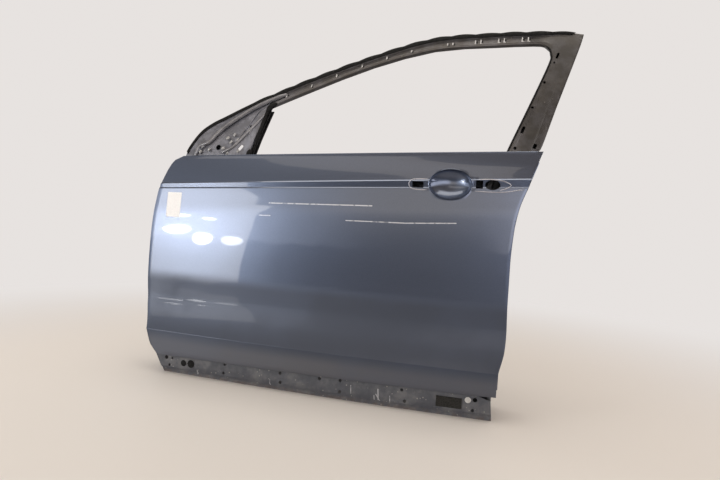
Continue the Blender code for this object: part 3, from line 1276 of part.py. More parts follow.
def main():
    for item in list(bpy.data.objects):
        bpy.data.objects.remove(item, do_unlink=True)
    datum = bpy.data.objects.new("datum", None)
    datum.location = -DATUM
    bpy.context.scene.collection.objects.link(datum)

    outer_skin(datum)
    inner_panel(datum)
    sill_closing_panel(datum)
    sill_plug("sill_plug_small", black_rubber(), datum)
    sill_plug("sill_plug_large", black_rubber(), datum)
    sill_plug("sill_plug_rear", pale_plastic(), datum)
    foam_pad(datum)

    window_frame_outer(datum)
    window_frame_inner(datum)
    header_seal(datum)
    run_channel("glass_run_channel_front", RUN_TOP, False, stiffener_coat(), datum)
    run_channel(
        "glass_run_seal_front", RUN_TOP, False, black_rubber(), datum,
        inset=RUN_T + 2 * WELD_GAP, thickness=RUN_SEAL_T, from_step=RUN_SEAL_FROM_STEP,
    )
    run_channel("glass_run_channel_rear", REAR_RUN_TOP, True, stiffener_coat(), datum)
    run_bracket("run_bracket_front", False, datum)
    run_bracket("run_bracket_rear", True, datum)

    belt_reinforcement_inner(datum)
    belt_reinforcement_outer(datum)
    hinge_stiffener("hinge_reinforcement_upper", UPPER_HINGE_Z, datum)
    hinge_stiffener("hinge_reinforcement_lower", LOWER_HINGE_Z, datum)
    tapping_plate("hinge_tapping_plate_upper", UPPER_HINGE_Z, datum)
    tapping_plate("hinge_tapping_plate_lower", LOWER_HINGE_Z, datum)
    check_strap_reinforcement(datum)
    latch_reinforcement(datum)
    handle_reinforcement(datum)
    mirror_reinforcement(datum)
    impact_beam(datum)
    beam_bracket("beam_bracket_front", False, datum)
    beam_bracket("beam_bracket_rear", True, datum)
    for name, x in zip(("front", "middle", "rear"), MASTIC_X):
        beam_mastic(f"beam_mastic_{name}", x, datum)


main()
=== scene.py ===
# %% [markdown]
# # Dressing a car door shell
#
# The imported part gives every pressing, stiffener and plug as a plain solid in its real place. This script
# builds what the eye sees round them: a finely pressed painted skin, the window frame with its tabs and
# rubber edge, the dirty strip below, and all finishes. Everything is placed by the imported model.

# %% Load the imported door
import math

import bmesh
import bpy
from mathutils import Matrix, Vector

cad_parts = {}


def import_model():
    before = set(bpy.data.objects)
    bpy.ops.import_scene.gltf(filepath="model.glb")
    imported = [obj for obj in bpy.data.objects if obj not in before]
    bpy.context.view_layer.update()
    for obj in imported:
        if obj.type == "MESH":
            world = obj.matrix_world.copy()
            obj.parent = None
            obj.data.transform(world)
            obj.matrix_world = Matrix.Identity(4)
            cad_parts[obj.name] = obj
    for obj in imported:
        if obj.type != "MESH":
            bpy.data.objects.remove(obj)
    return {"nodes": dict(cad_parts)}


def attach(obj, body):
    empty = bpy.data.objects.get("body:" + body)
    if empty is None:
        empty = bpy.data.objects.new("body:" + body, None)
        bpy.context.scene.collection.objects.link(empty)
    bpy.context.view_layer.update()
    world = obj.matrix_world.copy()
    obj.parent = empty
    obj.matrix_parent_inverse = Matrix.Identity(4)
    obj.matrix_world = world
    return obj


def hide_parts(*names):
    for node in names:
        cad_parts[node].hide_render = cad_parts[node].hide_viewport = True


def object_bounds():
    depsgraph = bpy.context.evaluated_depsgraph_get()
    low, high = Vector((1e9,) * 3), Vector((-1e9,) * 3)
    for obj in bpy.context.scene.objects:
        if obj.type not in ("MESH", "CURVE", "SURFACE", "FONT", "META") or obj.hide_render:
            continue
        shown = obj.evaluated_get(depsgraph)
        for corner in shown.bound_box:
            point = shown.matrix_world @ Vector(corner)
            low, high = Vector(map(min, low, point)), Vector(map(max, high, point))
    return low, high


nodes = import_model()["nodes"]
cad_low, cad_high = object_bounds()
print("packed door:", len(nodes), "nodes, from", tuple(cad_low), "to", tuple(cad_high))

# %% [markdown]
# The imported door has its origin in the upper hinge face. A door is easier to draw from its lower front
# corner, so shapes are written in door measures, X to the rear, Y into the cabin and Z up, and are shifted
# by one vector when their points are made.

# %% Door measures
DATUM = Vector((0.05, 0.107, 0.485))


def to_row(point):
    """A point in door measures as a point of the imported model."""
    return Vector(point) - DATUM


# %% [markdown]
# ## Node helpers
#
# Materials are built from nodes in code. A small function for each kind of node that comes back again and
# again keeps the recipes readable.

# %% Helpers for node trees
FLOAT, VECTOR = "NodeSocketFloat", "NodeSocketVector"


def feed(tree, sockets, values):
    """Links a node's first output or a socket, and sets anything else; colours are given without alpha."""
    for key, value in values.items():
        if isinstance(value, bpy.types.Node):
            value = value.outputs[0]
        if isinstance(value, bpy.types.NodeSocket):
            tree.links.new(value, sockets[key])
        else:
            sockets[key].default_value = (*value, 1.0) if sockets[key].type == "RGBA" else value


def add(tree, kind, values=None, **settings):
    """A node of this kind; its settings come first, because some of them change its inputs."""
    made = tree.nodes.new(kind)
    for name, value in settings.items():
        setattr(made, name, value)
    feed(tree, made.inputs, values or {})
    return made


def calc(tree, operation, a, b=0.0, clamp=False):
    return add(tree, "ShaderNodeMath", {0: a, 1: b}, operation=operation, use_clamp=clamp)


def times(tree, a, b):
    return calc(tree, "MULTIPLY", a, b)


def vector_calc(tree, operation, a, b):
    """The same for vectors; a distance or a dot product comes back as a number."""
    key = "Scale" if operation == "SCALE" else 1
    made = add(tree, "ShaderNodeVectorMath", {0: a, key: b}, operation=operation)
    return made.outputs["Value" if operation in ("DISTANCE", "DOT_PRODUCT") else "Vector"]


def ramp(tree, value, low, high, out_low=0.0, out_high=1.0):
    """Value mapped smoothly from one range to another."""
    values = {"Value": value, "From Min": low, "From Max": high, "To Min": out_low, "To Max": out_high}
    return add(tree, "ShaderNodeMapRange", values, interpolation_type="SMOOTHSTEP")


def mix_colour(tree, factor, a, b):
    return add(tree, "ShaderNodeMix", {0: factor, 6: a, 7: b}, data_type="RGBA").outputs[2]


def axis(tree, vector, letter):
    return add(tree, "ShaderNodeSeparateXYZ", {"Vector": vector}).outputs[letter]


def noise(tree, place, scale, detail, roughness=0.5):
    values = {"Vector": place, "Scale": scale, "Detail": detail, "Roughness": roughness}
    return add(tree, "ShaderNodeTexNoise", values).outputs["Fac"]


def cells(tree, place, scale):
    """Of a Voronoi pattern, the distance to the cell's middle and one random number for each cell."""
    made = add(tree, "ShaderNodeTexVoronoi", {"Vector": place, "Scale": scale}).outputs
    return made["Distance"], add(tree, "ShaderNodeSeparateColor", {"Color": made["Color"]})


def door_place(tree):
    """Object coordinates in door measures, for patterns that sit at a known place on the door."""
    coordinates = add(tree, "ShaderNodeTexCoord").outputs["Object"]
    return add(tree, "ShaderNodeMapping", {"Vector": coordinates, "Location": DATUM})


# %% [markdown]
# ## Effects that several finishes share
#
# Dirt gathers in clouds, in fine specks and more of it low down. A scratch is a broken, slightly wandering
# line that lets a paler layer show. Several finishes use both, so each is a node group with named inputs
# that gives back masks only. The shader itself stays in each material.

# %% Shader group: road dust and specks


def new_group(name, defaults, outputs):
    """An empty shader group; a tuple makes a vector input, and all outputs are numbers."""
    group = bpy.data.node_groups.new(name, "ShaderNodeTree")
    for label, default in defaults.items():
        kind = VECTOR if isinstance(default, tuple) else FLOAT
        group.interface.new_socket(label, in_out="INPUT", socket_type=kind).default_value = default
    for label in outputs:
        group.interface.new_socket(label, in_out="OUTPUT", socket_type=FLOAT)
    return group, add(group, "NodeGroupInput").outputs, add(group, "NodeGroupOutput").inputs


def make_dust_group():
    group, given, out = new_group("road_dust", {
        "Place": (0, 0, 0), "Cloud Size": 0.06, "Speck Size": 0.004, "Speck Amount": 0.2, "Low Edge": 0.0,
        "Fade Height": 0.3}, ("Clouds", "Specks", "Low Down", "Height"))
    clouds = noise(group, given["Place"], calc(group, "DIVIDE", 1.0, given["Cloud Size"]), 5.0, 0.6)
    distance, chosen = cells(group, given["Place"], calc(group, "DIVIDE", 1.0, given["Speck Size"]))
    rare = calc(group, "LESS_THAN", chosen, given["Speck Amount"])
    rise = calc(group, "SUBTRACT", axis(group, given["Place"], "Z"), given["Low Edge"])
    feed(group, out, {
        "Clouds": ramp(group, clouds, 0.42, 0.68),
        "Specks": times(group, rare, ramp(group, distance, 0.12, 0.32, 1.0, 0.0)),
        "Low Down": ramp(group, calc(group, "DIVIDE", rise, given["Fade Height"]), 0.0, 1.0, 1.0, 0.0),
        "Height": clouds,
    })
    return group


road_dust = make_dust_group()

# %% [markdown]
# The scratch group measures how far each point is from a straight line, makes that distance wander with a
# noise, and lets the same noise break the line up. Each material decides what colour its scratches have.

# %% Shader group: one scratch


def make_scratch_group():
    group, given, out = new_group("scratch", {
        "Place": (0, 0, 0), "Start": (0, 0, 0), "End": (1, 0, 0), "Width": 0.002, "Wander": 0.002}, ("Mask",))
    flat = vector_calc(group, "MULTIPLY", given["Place"], (1, 0, 1))
    arm = vector_calc(group, "SUBTRACT", flat, given["Start"])
    line = vector_calc(group, "SUBTRACT", given["End"], given["Start"])
    along, square = (vector_calc(group, "DOT_PRODUCT", other, line) for other in (arm, line))
    share = calc(group, "DIVIDE", along, square, clamp=True)
    gap = vector_calc(group, "DISTANCE", arm, vector_calc(group, "SCALE", line, share))
    breaks = noise(group, given["Place"], 60.0, 3.0)
    wander = times(group, calc(group, "SUBTRACT", breaks, 0.5), given["Wander"])
    away = calc(group, "ABSOLUTE", calc(group, "ADD", gap, wander))
    core = ramp(group, calc(group, "DIVIDE", away, given["Width"]), 0.3, 1.0, 1.0, 0.0)
    feed(group, out, {"Mask": times(group, core, ramp(group, breaks, 0.36, 0.5, 0.25, 1.0))})
    return group


scratch = make_scratch_group()
print("shader groups:", [g.name for g in bpy.data.node_groups])

# %% [markdown]
# Every material starts from the same shader, and takes its dust and scratches from those groups.

# %% Helpers for materials


def new_material(name, colour, roughness, metallic=0.0):
    """A material with a Principled BSDF; returns the material, its tree and the shader's inputs."""
    material = bpy.data.materials.new(name)
    material.use_nodes = True
    tree = material.node_tree
    surface = tree.nodes["Principled BSDF"].inputs
    feed(tree, surface, {"Base Color": colour, "Roughness": roughness, "Metallic": metallic})
    return material, tree, surface


def use_group(tree, group, values):
    return add(tree, "ShaderNodeGroup", values, node_tree=group).outputs


def all_scratches(tree, place, scratches):
    """One mask for several scratches, each given as X and Z of both ends and a width."""
    marks = None
    for x0, z0, x1, z1, width in scratches:
        values = {"Place": place, "Start": (x0, 0, z0), "End": (x1, 0, z1), "Width": width}
        mask = use_group(tree, scratch, values)["Mask"]
        marks = calc(tree, "MAXIMUM", marks, mask) if marks else mask
    return marks


def bump(tree, surface, relief, strength, distance):
    made = add(tree, "ShaderNodeBump", {"Height": relief, "Strength": strength, "Distance": distance})
    feed(tree, surface, {"Normal": made})
    return made


# %% [markdown]
# ## The blue-grey metallic paint
#
# Car paint is a base coat with metal flakes, which gives a soft, coloured sheen, under a clear coat that
# gives sharp reflections. The coat inputs stand for the lacquer, which is very slightly wavy. Low down a
# film dulls it and darkens it, partly dust and partly painted shade over the flare. The pale scratches are
# placed in door measures.

# %% Blue-grey metallic paint
PAINT_ROUGHNESS, PAINT_METALLIC = 0.28, 0.88
DUST_SHADE_FILM_FROM, DUST_SHADE_FILM_FADE, DUST_SHADE_FILM_ROUGHNESS = 0.268, 0.05, 0.52
PAINT_SCRATCHES = (
    (0.402, 0.5235, 0.706, 0.53, 0.0022), (0.636, 0.487, 0.8, 0.489, 0.002),
    (0.8, 0.489, 0.933, 0.496, 0.002), (0.373, 0.4875, 0.408, 0.488, 0.0018),
)


def make_body_paint():
    material, tree, surface = new_material("blue_grey_metallic_paint", (0.11, 0.128, 0.172), PAINT_ROUGHNESS,
                                           PAINT_METALLIC)
    place = door_place(tree)
    flake = cells(tree, place, 900.0)[1]
    base = mix_colour(tree, flake, (0.094, 0.117, 0.172), (0.108, 0.133, 0.196))
    dust = use_group(tree, road_dust, {"Place": place, "Cloud Size": 0.35, "Low Edge": DUST_SHADE_FILM_FROM,
                                       "Fade Height": DUST_SHADE_FILM_FADE})
    # Dust and painted shade: low down the paint turns a dark blue-grey over the flare, greyer near the lip,
    # with less sheen.
    film = times(tree, dust["Low Down"], ramp(tree, dust["Clouds"], 0.0, 1.0, 0.8, 1.0))
    lowest = ramp(tree, axis(tree, place, "Z"), 0.13, 0.09)
    dust_and_shade = mix_colour(tree, lowest, (0.068, 0.078, 0.104), (0.128, 0.131, 0.146))
    marks = all_scratches(tree, place, PAINT_SCRATCHES)
    dulled = calc(tree, "MAXIMUM", marks, times(tree, film, 0.25))
    waves = bump(tree, surface, noise(tree, place, 9.0, 1.0), 0.25, 0.0015)
    feed(tree, surface, {
        "Base Color": mix_colour(tree, marks, mix_colour(tree, film, base, dust_and_shade), (0.62, 0.64, 0.68)),
        "Metallic": ramp(tree, dulled, 0.0, 1.0, PAINT_METALLIC, 0.0),
        "Roughness": ramp(tree, film, 0.0, 1.0, PAINT_ROUGHNESS, DUST_SHADE_FILM_ROUGHNESS),
        "Coat Weight": calc(tree, "SUBTRACT", 1.0, calc(tree, "MAXIMUM", marks, film)),
        "Coat Roughness": 0.035,
        "Coat Normal": waves,
    })
    return material


body_paint = make_body_paint()

# %% [markdown]
# ## Coats that nobody polishes
#
# Behind the skin and on the frame there is only primer with thin overspray: flat grey, uneven, dusty. On the
# frame the coat is also lightened on the sail and forward of the rear leg, as painted light. One recipe with
# different numbers makes them all.

# %% Primer and overspray
SPECK_COLOUR = (0.42, 0.4, 0.37)


def make_dull_coat(name, colour, pale, dust_colour, roughness, amounts, metallic=0.15, sail=None):
    """Primer with clouds of overspray, dust and specks, amounts of each; sail = colour towards the mirror, a
    bluish overspray set lighter as painted light; with a sail, the coat forward of the rear leg is made
    lighter too, as painted light.
    """
    overspray, dust_amount, specks = amounts
    material, tree, surface = new_material(name, colour, roughness, metallic)
    place = door_place(tree)
    dust = use_group(tree, road_dust, {"Place": place, "Cloud Size": 0.05, "Speck Size": 0.006,
                                       "Speck Amount": specks})
    cloud = times(tree, ramp(tree, noise(tree, place, 26.0, 6.0, 0.65), 0.38, 0.66), overspray)
    coat = mix_colour(tree, cloud, colour, pale)
    if sail:
        # Painted light: forward of the rear leg the coat is up to 1.85 times lighter, lifting the header out
        # of its channel's shade; the sail colour is set lighter in the same way.
        along = axis(tree, place, "X")
        sail_overspray_and_light = vector_calc(tree, "SCALE", sail, ramp(tree, cloud, 0.0, overspray, 0.75, 1.25))
        coat = vector_calc(tree, "SCALE", coat, ramp(tree, along, 1.1, 1.03, 1.0, 1.85))
        coat = mix_colour(tree, ramp(tree, along, 0.42, 0.3), coat, sail_overspray_and_light)
    film = times(tree, dust["Clouds"], dust_amount)
    dusty = mix_colour(tree, film, coat, dust_colour)
    feed(tree, surface, {
        "Base Color": mix_colour(tree, times(tree, dust["Specks"], 0.6), dusty, SPECK_COLOUR),
        "Roughness": ramp(tree, film, 0.0, 0.6, roughness, min(roughness + 0.25, 1.0)),
    })
    bump(tree, surface, dust["Height"], 0.15, 0.001)
    return material


# The frame's coat carries painted light: lighter on the sail and forward of the rear leg.
frame_coat_and_light = make_dull_coat("frame_overspray", (0.052, 0.049, 0.047), (0.085, 0.083, 0.088),
                            (0.115, 0.105, 0.095), 0.36, (0.8, 0.25, 0.03), 0.45, (0.2, 0.205, 0.235))
panel_coat = make_dull_coat("inner_panel_overspray", (0.085, 0.088, 0.095), (0.115, 0.125, 0.15),
                            (0.14, 0.135, 0.125), 0.48, (0.9, 0.25, 0.02), 0.25)
primer_coat = make_dull_coat("dipped_primer", (0.045, 0.047, 0.05), (0.065, 0.067, 0.07),
                             (0.1, 0.095, 0.085), 0.55, (0.7, 0.2, 0.02), 0.1)

# %% [markdown]
# ## The closing panel's dirt
#
# The strip below the skin collects road dirt behind its cladding: a grey-brown film, pale splashes, scraped
# whitish lines and rust at the bottom flange.

# %% Road dirt on the closing panel
SILL_SCRAPES = (
    (0.68, 0.044, 0.681, 0.022, 0.0016), (0.756, 0.044, 0.758, 0.016, 0.0024),
    (0.751, 0.03, 0.762, 0.014, 0.002), (0.746, 0.026, 0.747, 0.015, 0.0018),
    (0.789, 0.03, 0.79, 0.015, 0.0016), (0.1985, 0.02, 0.199, 0.008, 0.0022),
    (0.439, 0.026, 0.4394, 0.012, 0.0018),
)


def make_sill_dirt():
    material, tree, surface = new_material("dirty_closing_panel", (0.05, 0.05, 0.05), 0.6, 0.1)
    place = door_place(tree)
    dust = use_group(tree, road_dust, {"Place": place, "Cloud Size": 0.045, "Speck Size": 0.0075,
                                       "Speck Amount": 0.14, "Fade Height": 0.014})
    coat = mix_colour(tree, dust["Clouds"], (0.08, 0.084, 0.096), (0.138, 0.139, 0.145))
    splashed = mix_colour(tree, times(tree, dust["Specks"], 0.75), coat, (0.36, 0.34, 0.31))
    grain = noise(tree, place, 70.0, 5.0)
    rust = times(tree, dust["Low Down"], ramp(tree, grain, 0.38, 0.6))
    rusty = mix_colour(tree, times(tree, rust, 0.3), splashed, (0.15, 0.085, 0.045))
    feed(tree, surface, {
        "Base Color": mix_colour(tree, all_scratches(tree, place, SILL_SCRAPES), rusty, (0.46, 0.46, 0.47)),
        "Roughness": ramp(tree, grain, 0.3, 0.7, 0.5, 0.8),
    })
    bump(tree, surface, grain, 0.35, 0.001)
    return material


sill_dirt = make_sill_dirt()

# %% [markdown]
# ## Rubber, foam, plastic, mastic and paper
#
# None of the small pieces is one even colour: rubber bleaches in patches, foam is full of pores, mastic is
# lumpy. One recipe mixes two tones by a noise and uses the same noise for a bump.

# %% Small finishes


def make_toned(name, dark, light, scale, roughness, bump_depth, metallic=0.0):
    material, tree, surface = new_material(name, dark, roughness, metallic)
    tone = noise(tree, door_place(tree), scale, 4.0, 0.6)
    feed(tree, surface, {"Base Color": mix_colour(tree, ramp(tree, tone, 0.35, 0.65), dark, light)})
    bump(tree, surface, tone, 0.4, bump_depth)
    return material


black_rubber = make_toned("black_rubber", (0.004, 0.004, 0.004), (0.012, 0.012, 0.012), 140.0, 0.7, 0.0006)
black_rubber.node_tree.nodes["Principled BSDF"].inputs["Specular IOR Level"].default_value = 0.15
black_foam = make_toned("black_foam", (0.008, 0.008, 0.007), (0.03, 0.028, 0.024), 420.0, 0.95, 0.002)
pale_plastic = make_toned("pale_plastic", (0.5, 0.49, 0.46), (0.62, 0.61, 0.58), 60.0, 0.42, 0.0003)
grey_mastic = make_toned("grey_mastic", (0.08, 0.08, 0.085), (0.13, 0.13, 0.135), 90.0, 0.85, 0.002)
bare_paper = make_toned("bare_paper", (0.86, 0.86, 0.85), (0.92, 0.92, 0.91), 220.0, 0.45, 0.0001)
# Painted highlight: the pale tab finish stands for the header tabs' bright glint.
tab_highlight_coat = make_toned("bright_tab_metal", (0.46, 0.46, 0.46), (0.66, 0.66, 0.65), 120.0, 0.35, 0.0003, 0.2)
print("materials:", len(bpy.data.materials))

# %% [markdown]
# ## Shape rules of the pressed skin
#
# A door skin is drawn by a few lines in side view, the lip, the lower crease, two coach lines and the belt,
# by one section through them, and by a slight bow from front to rear. The solid follows the same rules with
# few facets. Here they are sampled finely, so that reflections run smoothly.

# %% Curves and sections
PLAN_BOW, PLAN_MIDDLE_X, PLAN_HALF_LENGTH = 0.016, 0.52, 0.54
LIP_LINE, CREASE_LINE = (0.055, 0.012), (0.128, 0.0)
LOW_COACH_LINE, HIGH_COACH_LINE = (0.5505, 0.0385), (0.5645, 0.0455)
BELT_LINE = (0.65, 0.0335)
LEDGE_HEIGHT = 0.003
BOWL_X, BOWL_ABOVE_COACH = 0.911, 0.01
BOWL_HALF_LENGTH, BOWL_HALF_HEIGHT, BOWL_DEPTH = 0.0565, 0.0405, 0.024
COACH_GAP = HIGH_COACH_LINE[0] - LOW_COACH_LINE[0] + (HIGH_COACH_LINE[1] - LOW_COACH_LINE[1]) * BOWL_X
BOWL_FOOT = BOWL_ABOVE_COACH - BOWL_HALF_HEIGHT - 0.0055
BOWL_HEAD = BOWL_ABOVE_COACH + BOWL_HALF_HEIGHT + 0.0039 - COACH_GAP
SKIN_SECTION = (
    ("lip", LIP_LINE, 0.0, 0.003),
    ("crease", CREASE_LINE, 0.0, 0.0),
    ("flare_foot", CREASE_LINE, 0.022, 0.012),
    ("flare", CREASE_LINE, 0.057, 0.0255),
    ("hollow", CREASE_LINE, 0.107, 0.0345),
    ("flank_low", CREASE_LINE, 0.172, 0.0368),
    ("flank", CREASE_LINE, 0.262, 0.0385),
    ("shoulder", LOW_COACH_LINE, -0.07, 0.042),
    ("bowl_foot", LOW_COACH_LINE, BOWL_FOOT, 0.0458),
    ("low_coach", LOW_COACH_LINE, 0.0, 0.0498),
    ("low_ledge", LOW_COACH_LINE, LEDGE_HEIGHT, 0.0526),
    ("high_coach", HIGH_COACH_LINE, 0.0, 0.0514),
    ("high_ledge", HIGH_COACH_LINE, LEDGE_HEIGHT, 0.0546),
    ("bowl_head", HIGH_COACH_LINE, BOWL_HEAD, 0.0635),
    ("belt", BELT_LINE, 0.0, 0.078),
)
SHARP_LINES = ("crease", "low_coach", "low_ledge", "high_coach", "high_ledge")
FRONT_EDGE = (
    (0.055, 0.062), (0.085, 0.037), (0.128, 0.024), (0.2, 0.003), (0.29, -0.005),
    (0.4, -0.001), (0.53, 0.013), (0.6, 0.033), (0.637, 0.052), (0.652, 0.082),
)
REAR_EDGE = (
    (0.055, 1.065), (0.128, 1.0655), (0.15, 1.07), (0.178, 1.075), (0.215, 1.0765), (0.3, 1.0745),
    (0.4, 1.0745), (0.48, 1.0785), (0.54, 1.088), (0.6, 1.108), (0.69, 1.138),
)


def smooth_curve(points):
    """A function through (t, value) points that is smooth and never overshoots them."""
    ts, vs = zip(*points)
    secants = [(b - a) / (s - r) for r, s, a, b in zip(ts, ts[1:], vs, vs[1:])]
    slopes = [2 * a * b / (a + b) if a * b > 0 else 0.0 for a, b in zip(secants, secants[1:])]
    slopes = [secants[0], *slopes, secants[-1]]

    def value(t):
        for end in (0, -1):
            if (t <= ts[0], t >= ts[-1])[end]:
                return vs[end] + slopes[end] * (t - ts[end])
        i = max(k for k in range(len(ts) - 1) if ts[k] <= t)
        h = ts[i + 1] - ts[i]
        s = (t - ts[i]) / h
        return (
            (2 * s**3 - 3 * s**2 + 1) * vs[i] + (s**3 - 2 * s**2 + s) * h * slopes[i]
            + (3 * s**2 - 2 * s**3) * vs[i + 1] + (s**3 - s**2) * h * slopes[i + 1]
        )

    return value


front_edge, rear_edge = smooth_curve(FRONT_EDGE), smooth_curve(REAR_EDGE)


def height(line, x):
    return line[0] + line[1] * x


def row_z(row, x):
    """Height of a section row at X."""
    return height(row[1], x) + row[2]


def plan_bow(x):
    return PLAN_BOW * ((x - PLAN_MIDDLE_X) / PLAN_HALF_LENGTH) ** 2


# %% [markdown]
# The skin's depth at a place is its section depth plus the bow of the plan. The sharp lines split the section
# into six groups of rows. Inside a group the depth runs smoothly, and at a sharp line it may bend.

# %% Depth of the skin
SHARP_ROWS = [i for i, row in enumerate(SKIN_SECTION) if row[0] in SHARP_LINES]
GROUPS = [SKIN_SECTION[a:b + 1] for a, b in zip([0] + SHARP_ROWS, SHARP_ROWS + [len(SKIN_SECTION) - 1])]


def skin_depth(x, z):
    """Depth Y of the skin's outer face, before the bowl is pressed in."""
    for group in GROUPS:
        if z <= row_z(group[-1], x) or group is GROUPS[-1]:
            return smooth_curve([(row_z(row, x), row[3]) for row in group])(z) + plan_bow(x)


def depth_normal(depth, x, z, e=0.004):
    """Outward normal of a sheet whose Y is depth(x, z)."""
    by_x = (depth(x + e, z) - depth(x - e, z)) / (2 * e)
    by_z = (depth(x, z + e) - depth(x, z - e)) / (2 * e)
    return Vector((by_x, -1.0, by_z)).normalized()


print("skin depth at crease and belt:", round(skin_depth(0.5, 0.128), 4), round(skin_depth(0.5, 0.66), 4))

# %% [markdown]
# ## Rows and columns of the skin
#
# A grid whose rows lie on the design lines keeps every crease crisp. A row just below and one just above
# each crease round it over about two millimetres, as a press tool would. Columns are closer at the bowl.

# %% Grid of the skin
ROW_SPACING = 0.012
CREASE_ROUNDING, CREASE_MOST = 0.0011, 0.3
SKIN_COLUMNS = (52, 36, 18)
SKIN_FRONT_X, SKIN_LENGTH = 0.02, 1.09
BOWL_FIELD = (BOWL_X - 0.063, BOWL_X + 0.071)
HEM_R, HEM_RETURN = 0.0019, 0.014
GRID_ROUNDS = 6


def skin_rows():
    """Rows bottom to top, each as (section line below, section line above, share between them)."""
    rows = []
    for low, high in zip(SKIN_SECTION, SKIN_SECTION[1:]):
        tall = height(high[1], 0.6) + high[2] - height(low[1], 0.6) - low[2]
        count = max(1, math.ceil(tall / ROW_SPACING))
        shares = {i / count for i in range(count)}
        rounding = min(CREASE_ROUNDING / tall, CREASE_MOST)
        if low[0] in SHARP_LINES:
            shares.add(rounding)
        if high[0] in SHARP_LINES:
            shares.add(1 - rounding)
        rows += [(low, high, share) for share in sorted(shares)]
    return rows + [(*SKIN_SECTION[-2:], 1.0)]


ROWS = skin_rows()
LOW_ROW, HIGH_ROW = (next(i for i, r in enumerate(ROWS) if r[0][0] == name and r[2] == 0.0)
                     for name in ("bowl_foot", "bowl_head"))


def grid_z(row, x):
    low, high, share = row
    return row_z(low, x) + (row_z(high, x) - row_z(low, x)) * share


def column_shares():
    stops = (0.0, *((x - SKIN_FRONT_X) / SKIN_LENGTH for x in BOWL_FIELD), 1.0)
    shares = [0.0]
    for low, high, count in zip(stops, stops[1:], SKIN_COLUMNS):
        shares += [low + (high - low) * (i + 1) / count for i in range(count)]
    return shares


def skin_grid():
    """(x, z) of every grid point; a few rounds settle where a sloping row meets the curved edges."""
    grid = []
    for row in ROWS:
        front = rear = 0.5
        for _ in range(GRID_ROUNDS):
            front = front_edge(grid_z(row, front)) + HEM_R
            rear = rear_edge(grid_z(row, rear)) - HEM_R
        xs = [front + (rear - front) * share for share in column_shares()]
        grid.append([(x, grid_z(row, x)) for x in xs])
    return grid


GRID = skin_grid()
print("skin grid:", len(GRID), "rows of", len(GRID[0]))

# %% [markdown]
# ## Turning rules into finished meshes
#
# A pressed sheet is built as quads, Solidify gives its gauge, and a Boolean cuts the punched holes. The
# result is turned into a plain mesh, and edges sharper than a given angle are marked sharp for the shading.

# %% Helpers for sheet pieces


def on_sheet(depth, places, outwards=0.0):
    """Points of a sheet whose Y is depth(x, z), in door measures."""
    return [Vector((x, depth(x, z) - outwards, z)) for x, z in places]


def add_row(bm, points):
    return [bm.verts.new(to_row(p)) for p in points]


def face_rows(bm, rows, closed=False):
    """Quads between neighbouring rows of vertices; closed joins the two ends of the rows as well."""
    for low, high in zip(rows, rows[1:]):
        for i in range(len(low) if closed else len(low) - 1):
            j = (i + 1) % len(low)
            bm.faces.new((low[i], low[j], high[j], high[i]))


def face_tube(bm, rows):
    face_rows(bm, rows, closed=True)
    bm.faces.new(rows[0])
    bm.faces.new(rows[-1][::-1])


def extrude(bm, outline, offset):
    """Adds a block: the outline's points in order, swept by the offset."""
    base = bm.faces.new([bm.verts.new(p) for p in outline])
    swept = bmesh.ops.extrude_face_region(bm, geom=[base])["geom"]
    bmesh.ops.translate(bm, vec=offset, verts=[v for v in swept if isinstance(v, bmesh.types.BMVert)])


def link(name, data, *materials):
    item = bpy.data.objects.new(name, data)
    bpy.context.scene.collection.objects.link(item)
    for material in materials:
        data.materials.append(material)
    return item


def piece(name, bm, *materials, solid=False):
    """What was drawn, as an object; the faces of a solid are turned outwards first."""
    if solid:
        bmesh.ops.recalc_face_normals(bm, faces=bm.faces)
    mesh = bpy.data.meshes.new(name)
    bm.to_mesh(mesh)
    bm.free()
    return link(name, mesh, *materials)


def baked(item, angle=35.0):
    """The item's modifiers turned into its mesh, with sharp edges marked."""
    graph = bpy.context.evaluated_depsgraph_get()
    graph.update()
    mesh = bpy.data.meshes.new_from_object(item.evaluated_get(graph))
    item.modifiers.clear()
    item.data = mesh
    mesh.name = item.name
    mesh.shade_smooth()
    mesh.set_sharp_from_angle(angle=math.radians(angle))


def thicken(item, thickness, back_slot=0, even=True):
    """Gives the sheet its gauge; even offset is truer at bends, but spikes where a surface folds tightly."""
    solidify = item.modifiers.new("gauge", "SOLIDIFY")
    solidify.thickness = thickness
    solidify.offset = -1.0
    solidify.use_even_offset = even
    solidify.material_offset = back_slot


# %% [markdown]
# A hole is punched straight along Y. Its outline is drawn flat, as an ellipse or a rounded box, then set in
# its place. All the punches of a piece are cut together.

# %% Punched holes


def ellipse(half_width, half_height, steps=32):
    angles = [2 * math.pi * i / steps for i in range(steps)]
    return [(half_width * math.cos(a), half_height * math.sin(a)) for a in angles]


def rounded_box(width, tall, radius, steps=5):
    points = []
    for quarter, (sx, sz) in enumerate(((1, 1), (-1, 1), (-1, -1), (1, -1))):
        cx, cz = sx * (width / 2 - radius), sz * (tall / 2 - radius)
        for i in range(steps + 1):
            angle = (quarter + i / steps) * math.pi / 2
            points.append((cx + radius * math.cos(angle), cz + radius * math.sin(angle)))
    return points


def through_y(shape, x, z, low_y, high_y, tilt=0.0):
    """A punch along Y, as its outline and its sweep."""
    c, s = math.cos(tilt), math.sin(tilt)
    outline = [to_row((x + c * u - s * v, low_y, z + s * u + c * v)) for u, v in shape]
    return outline, Vector((0, high_y - low_y, 0))


def drop(helper):
    bpy.data.objects.remove(helper, do_unlink=True)


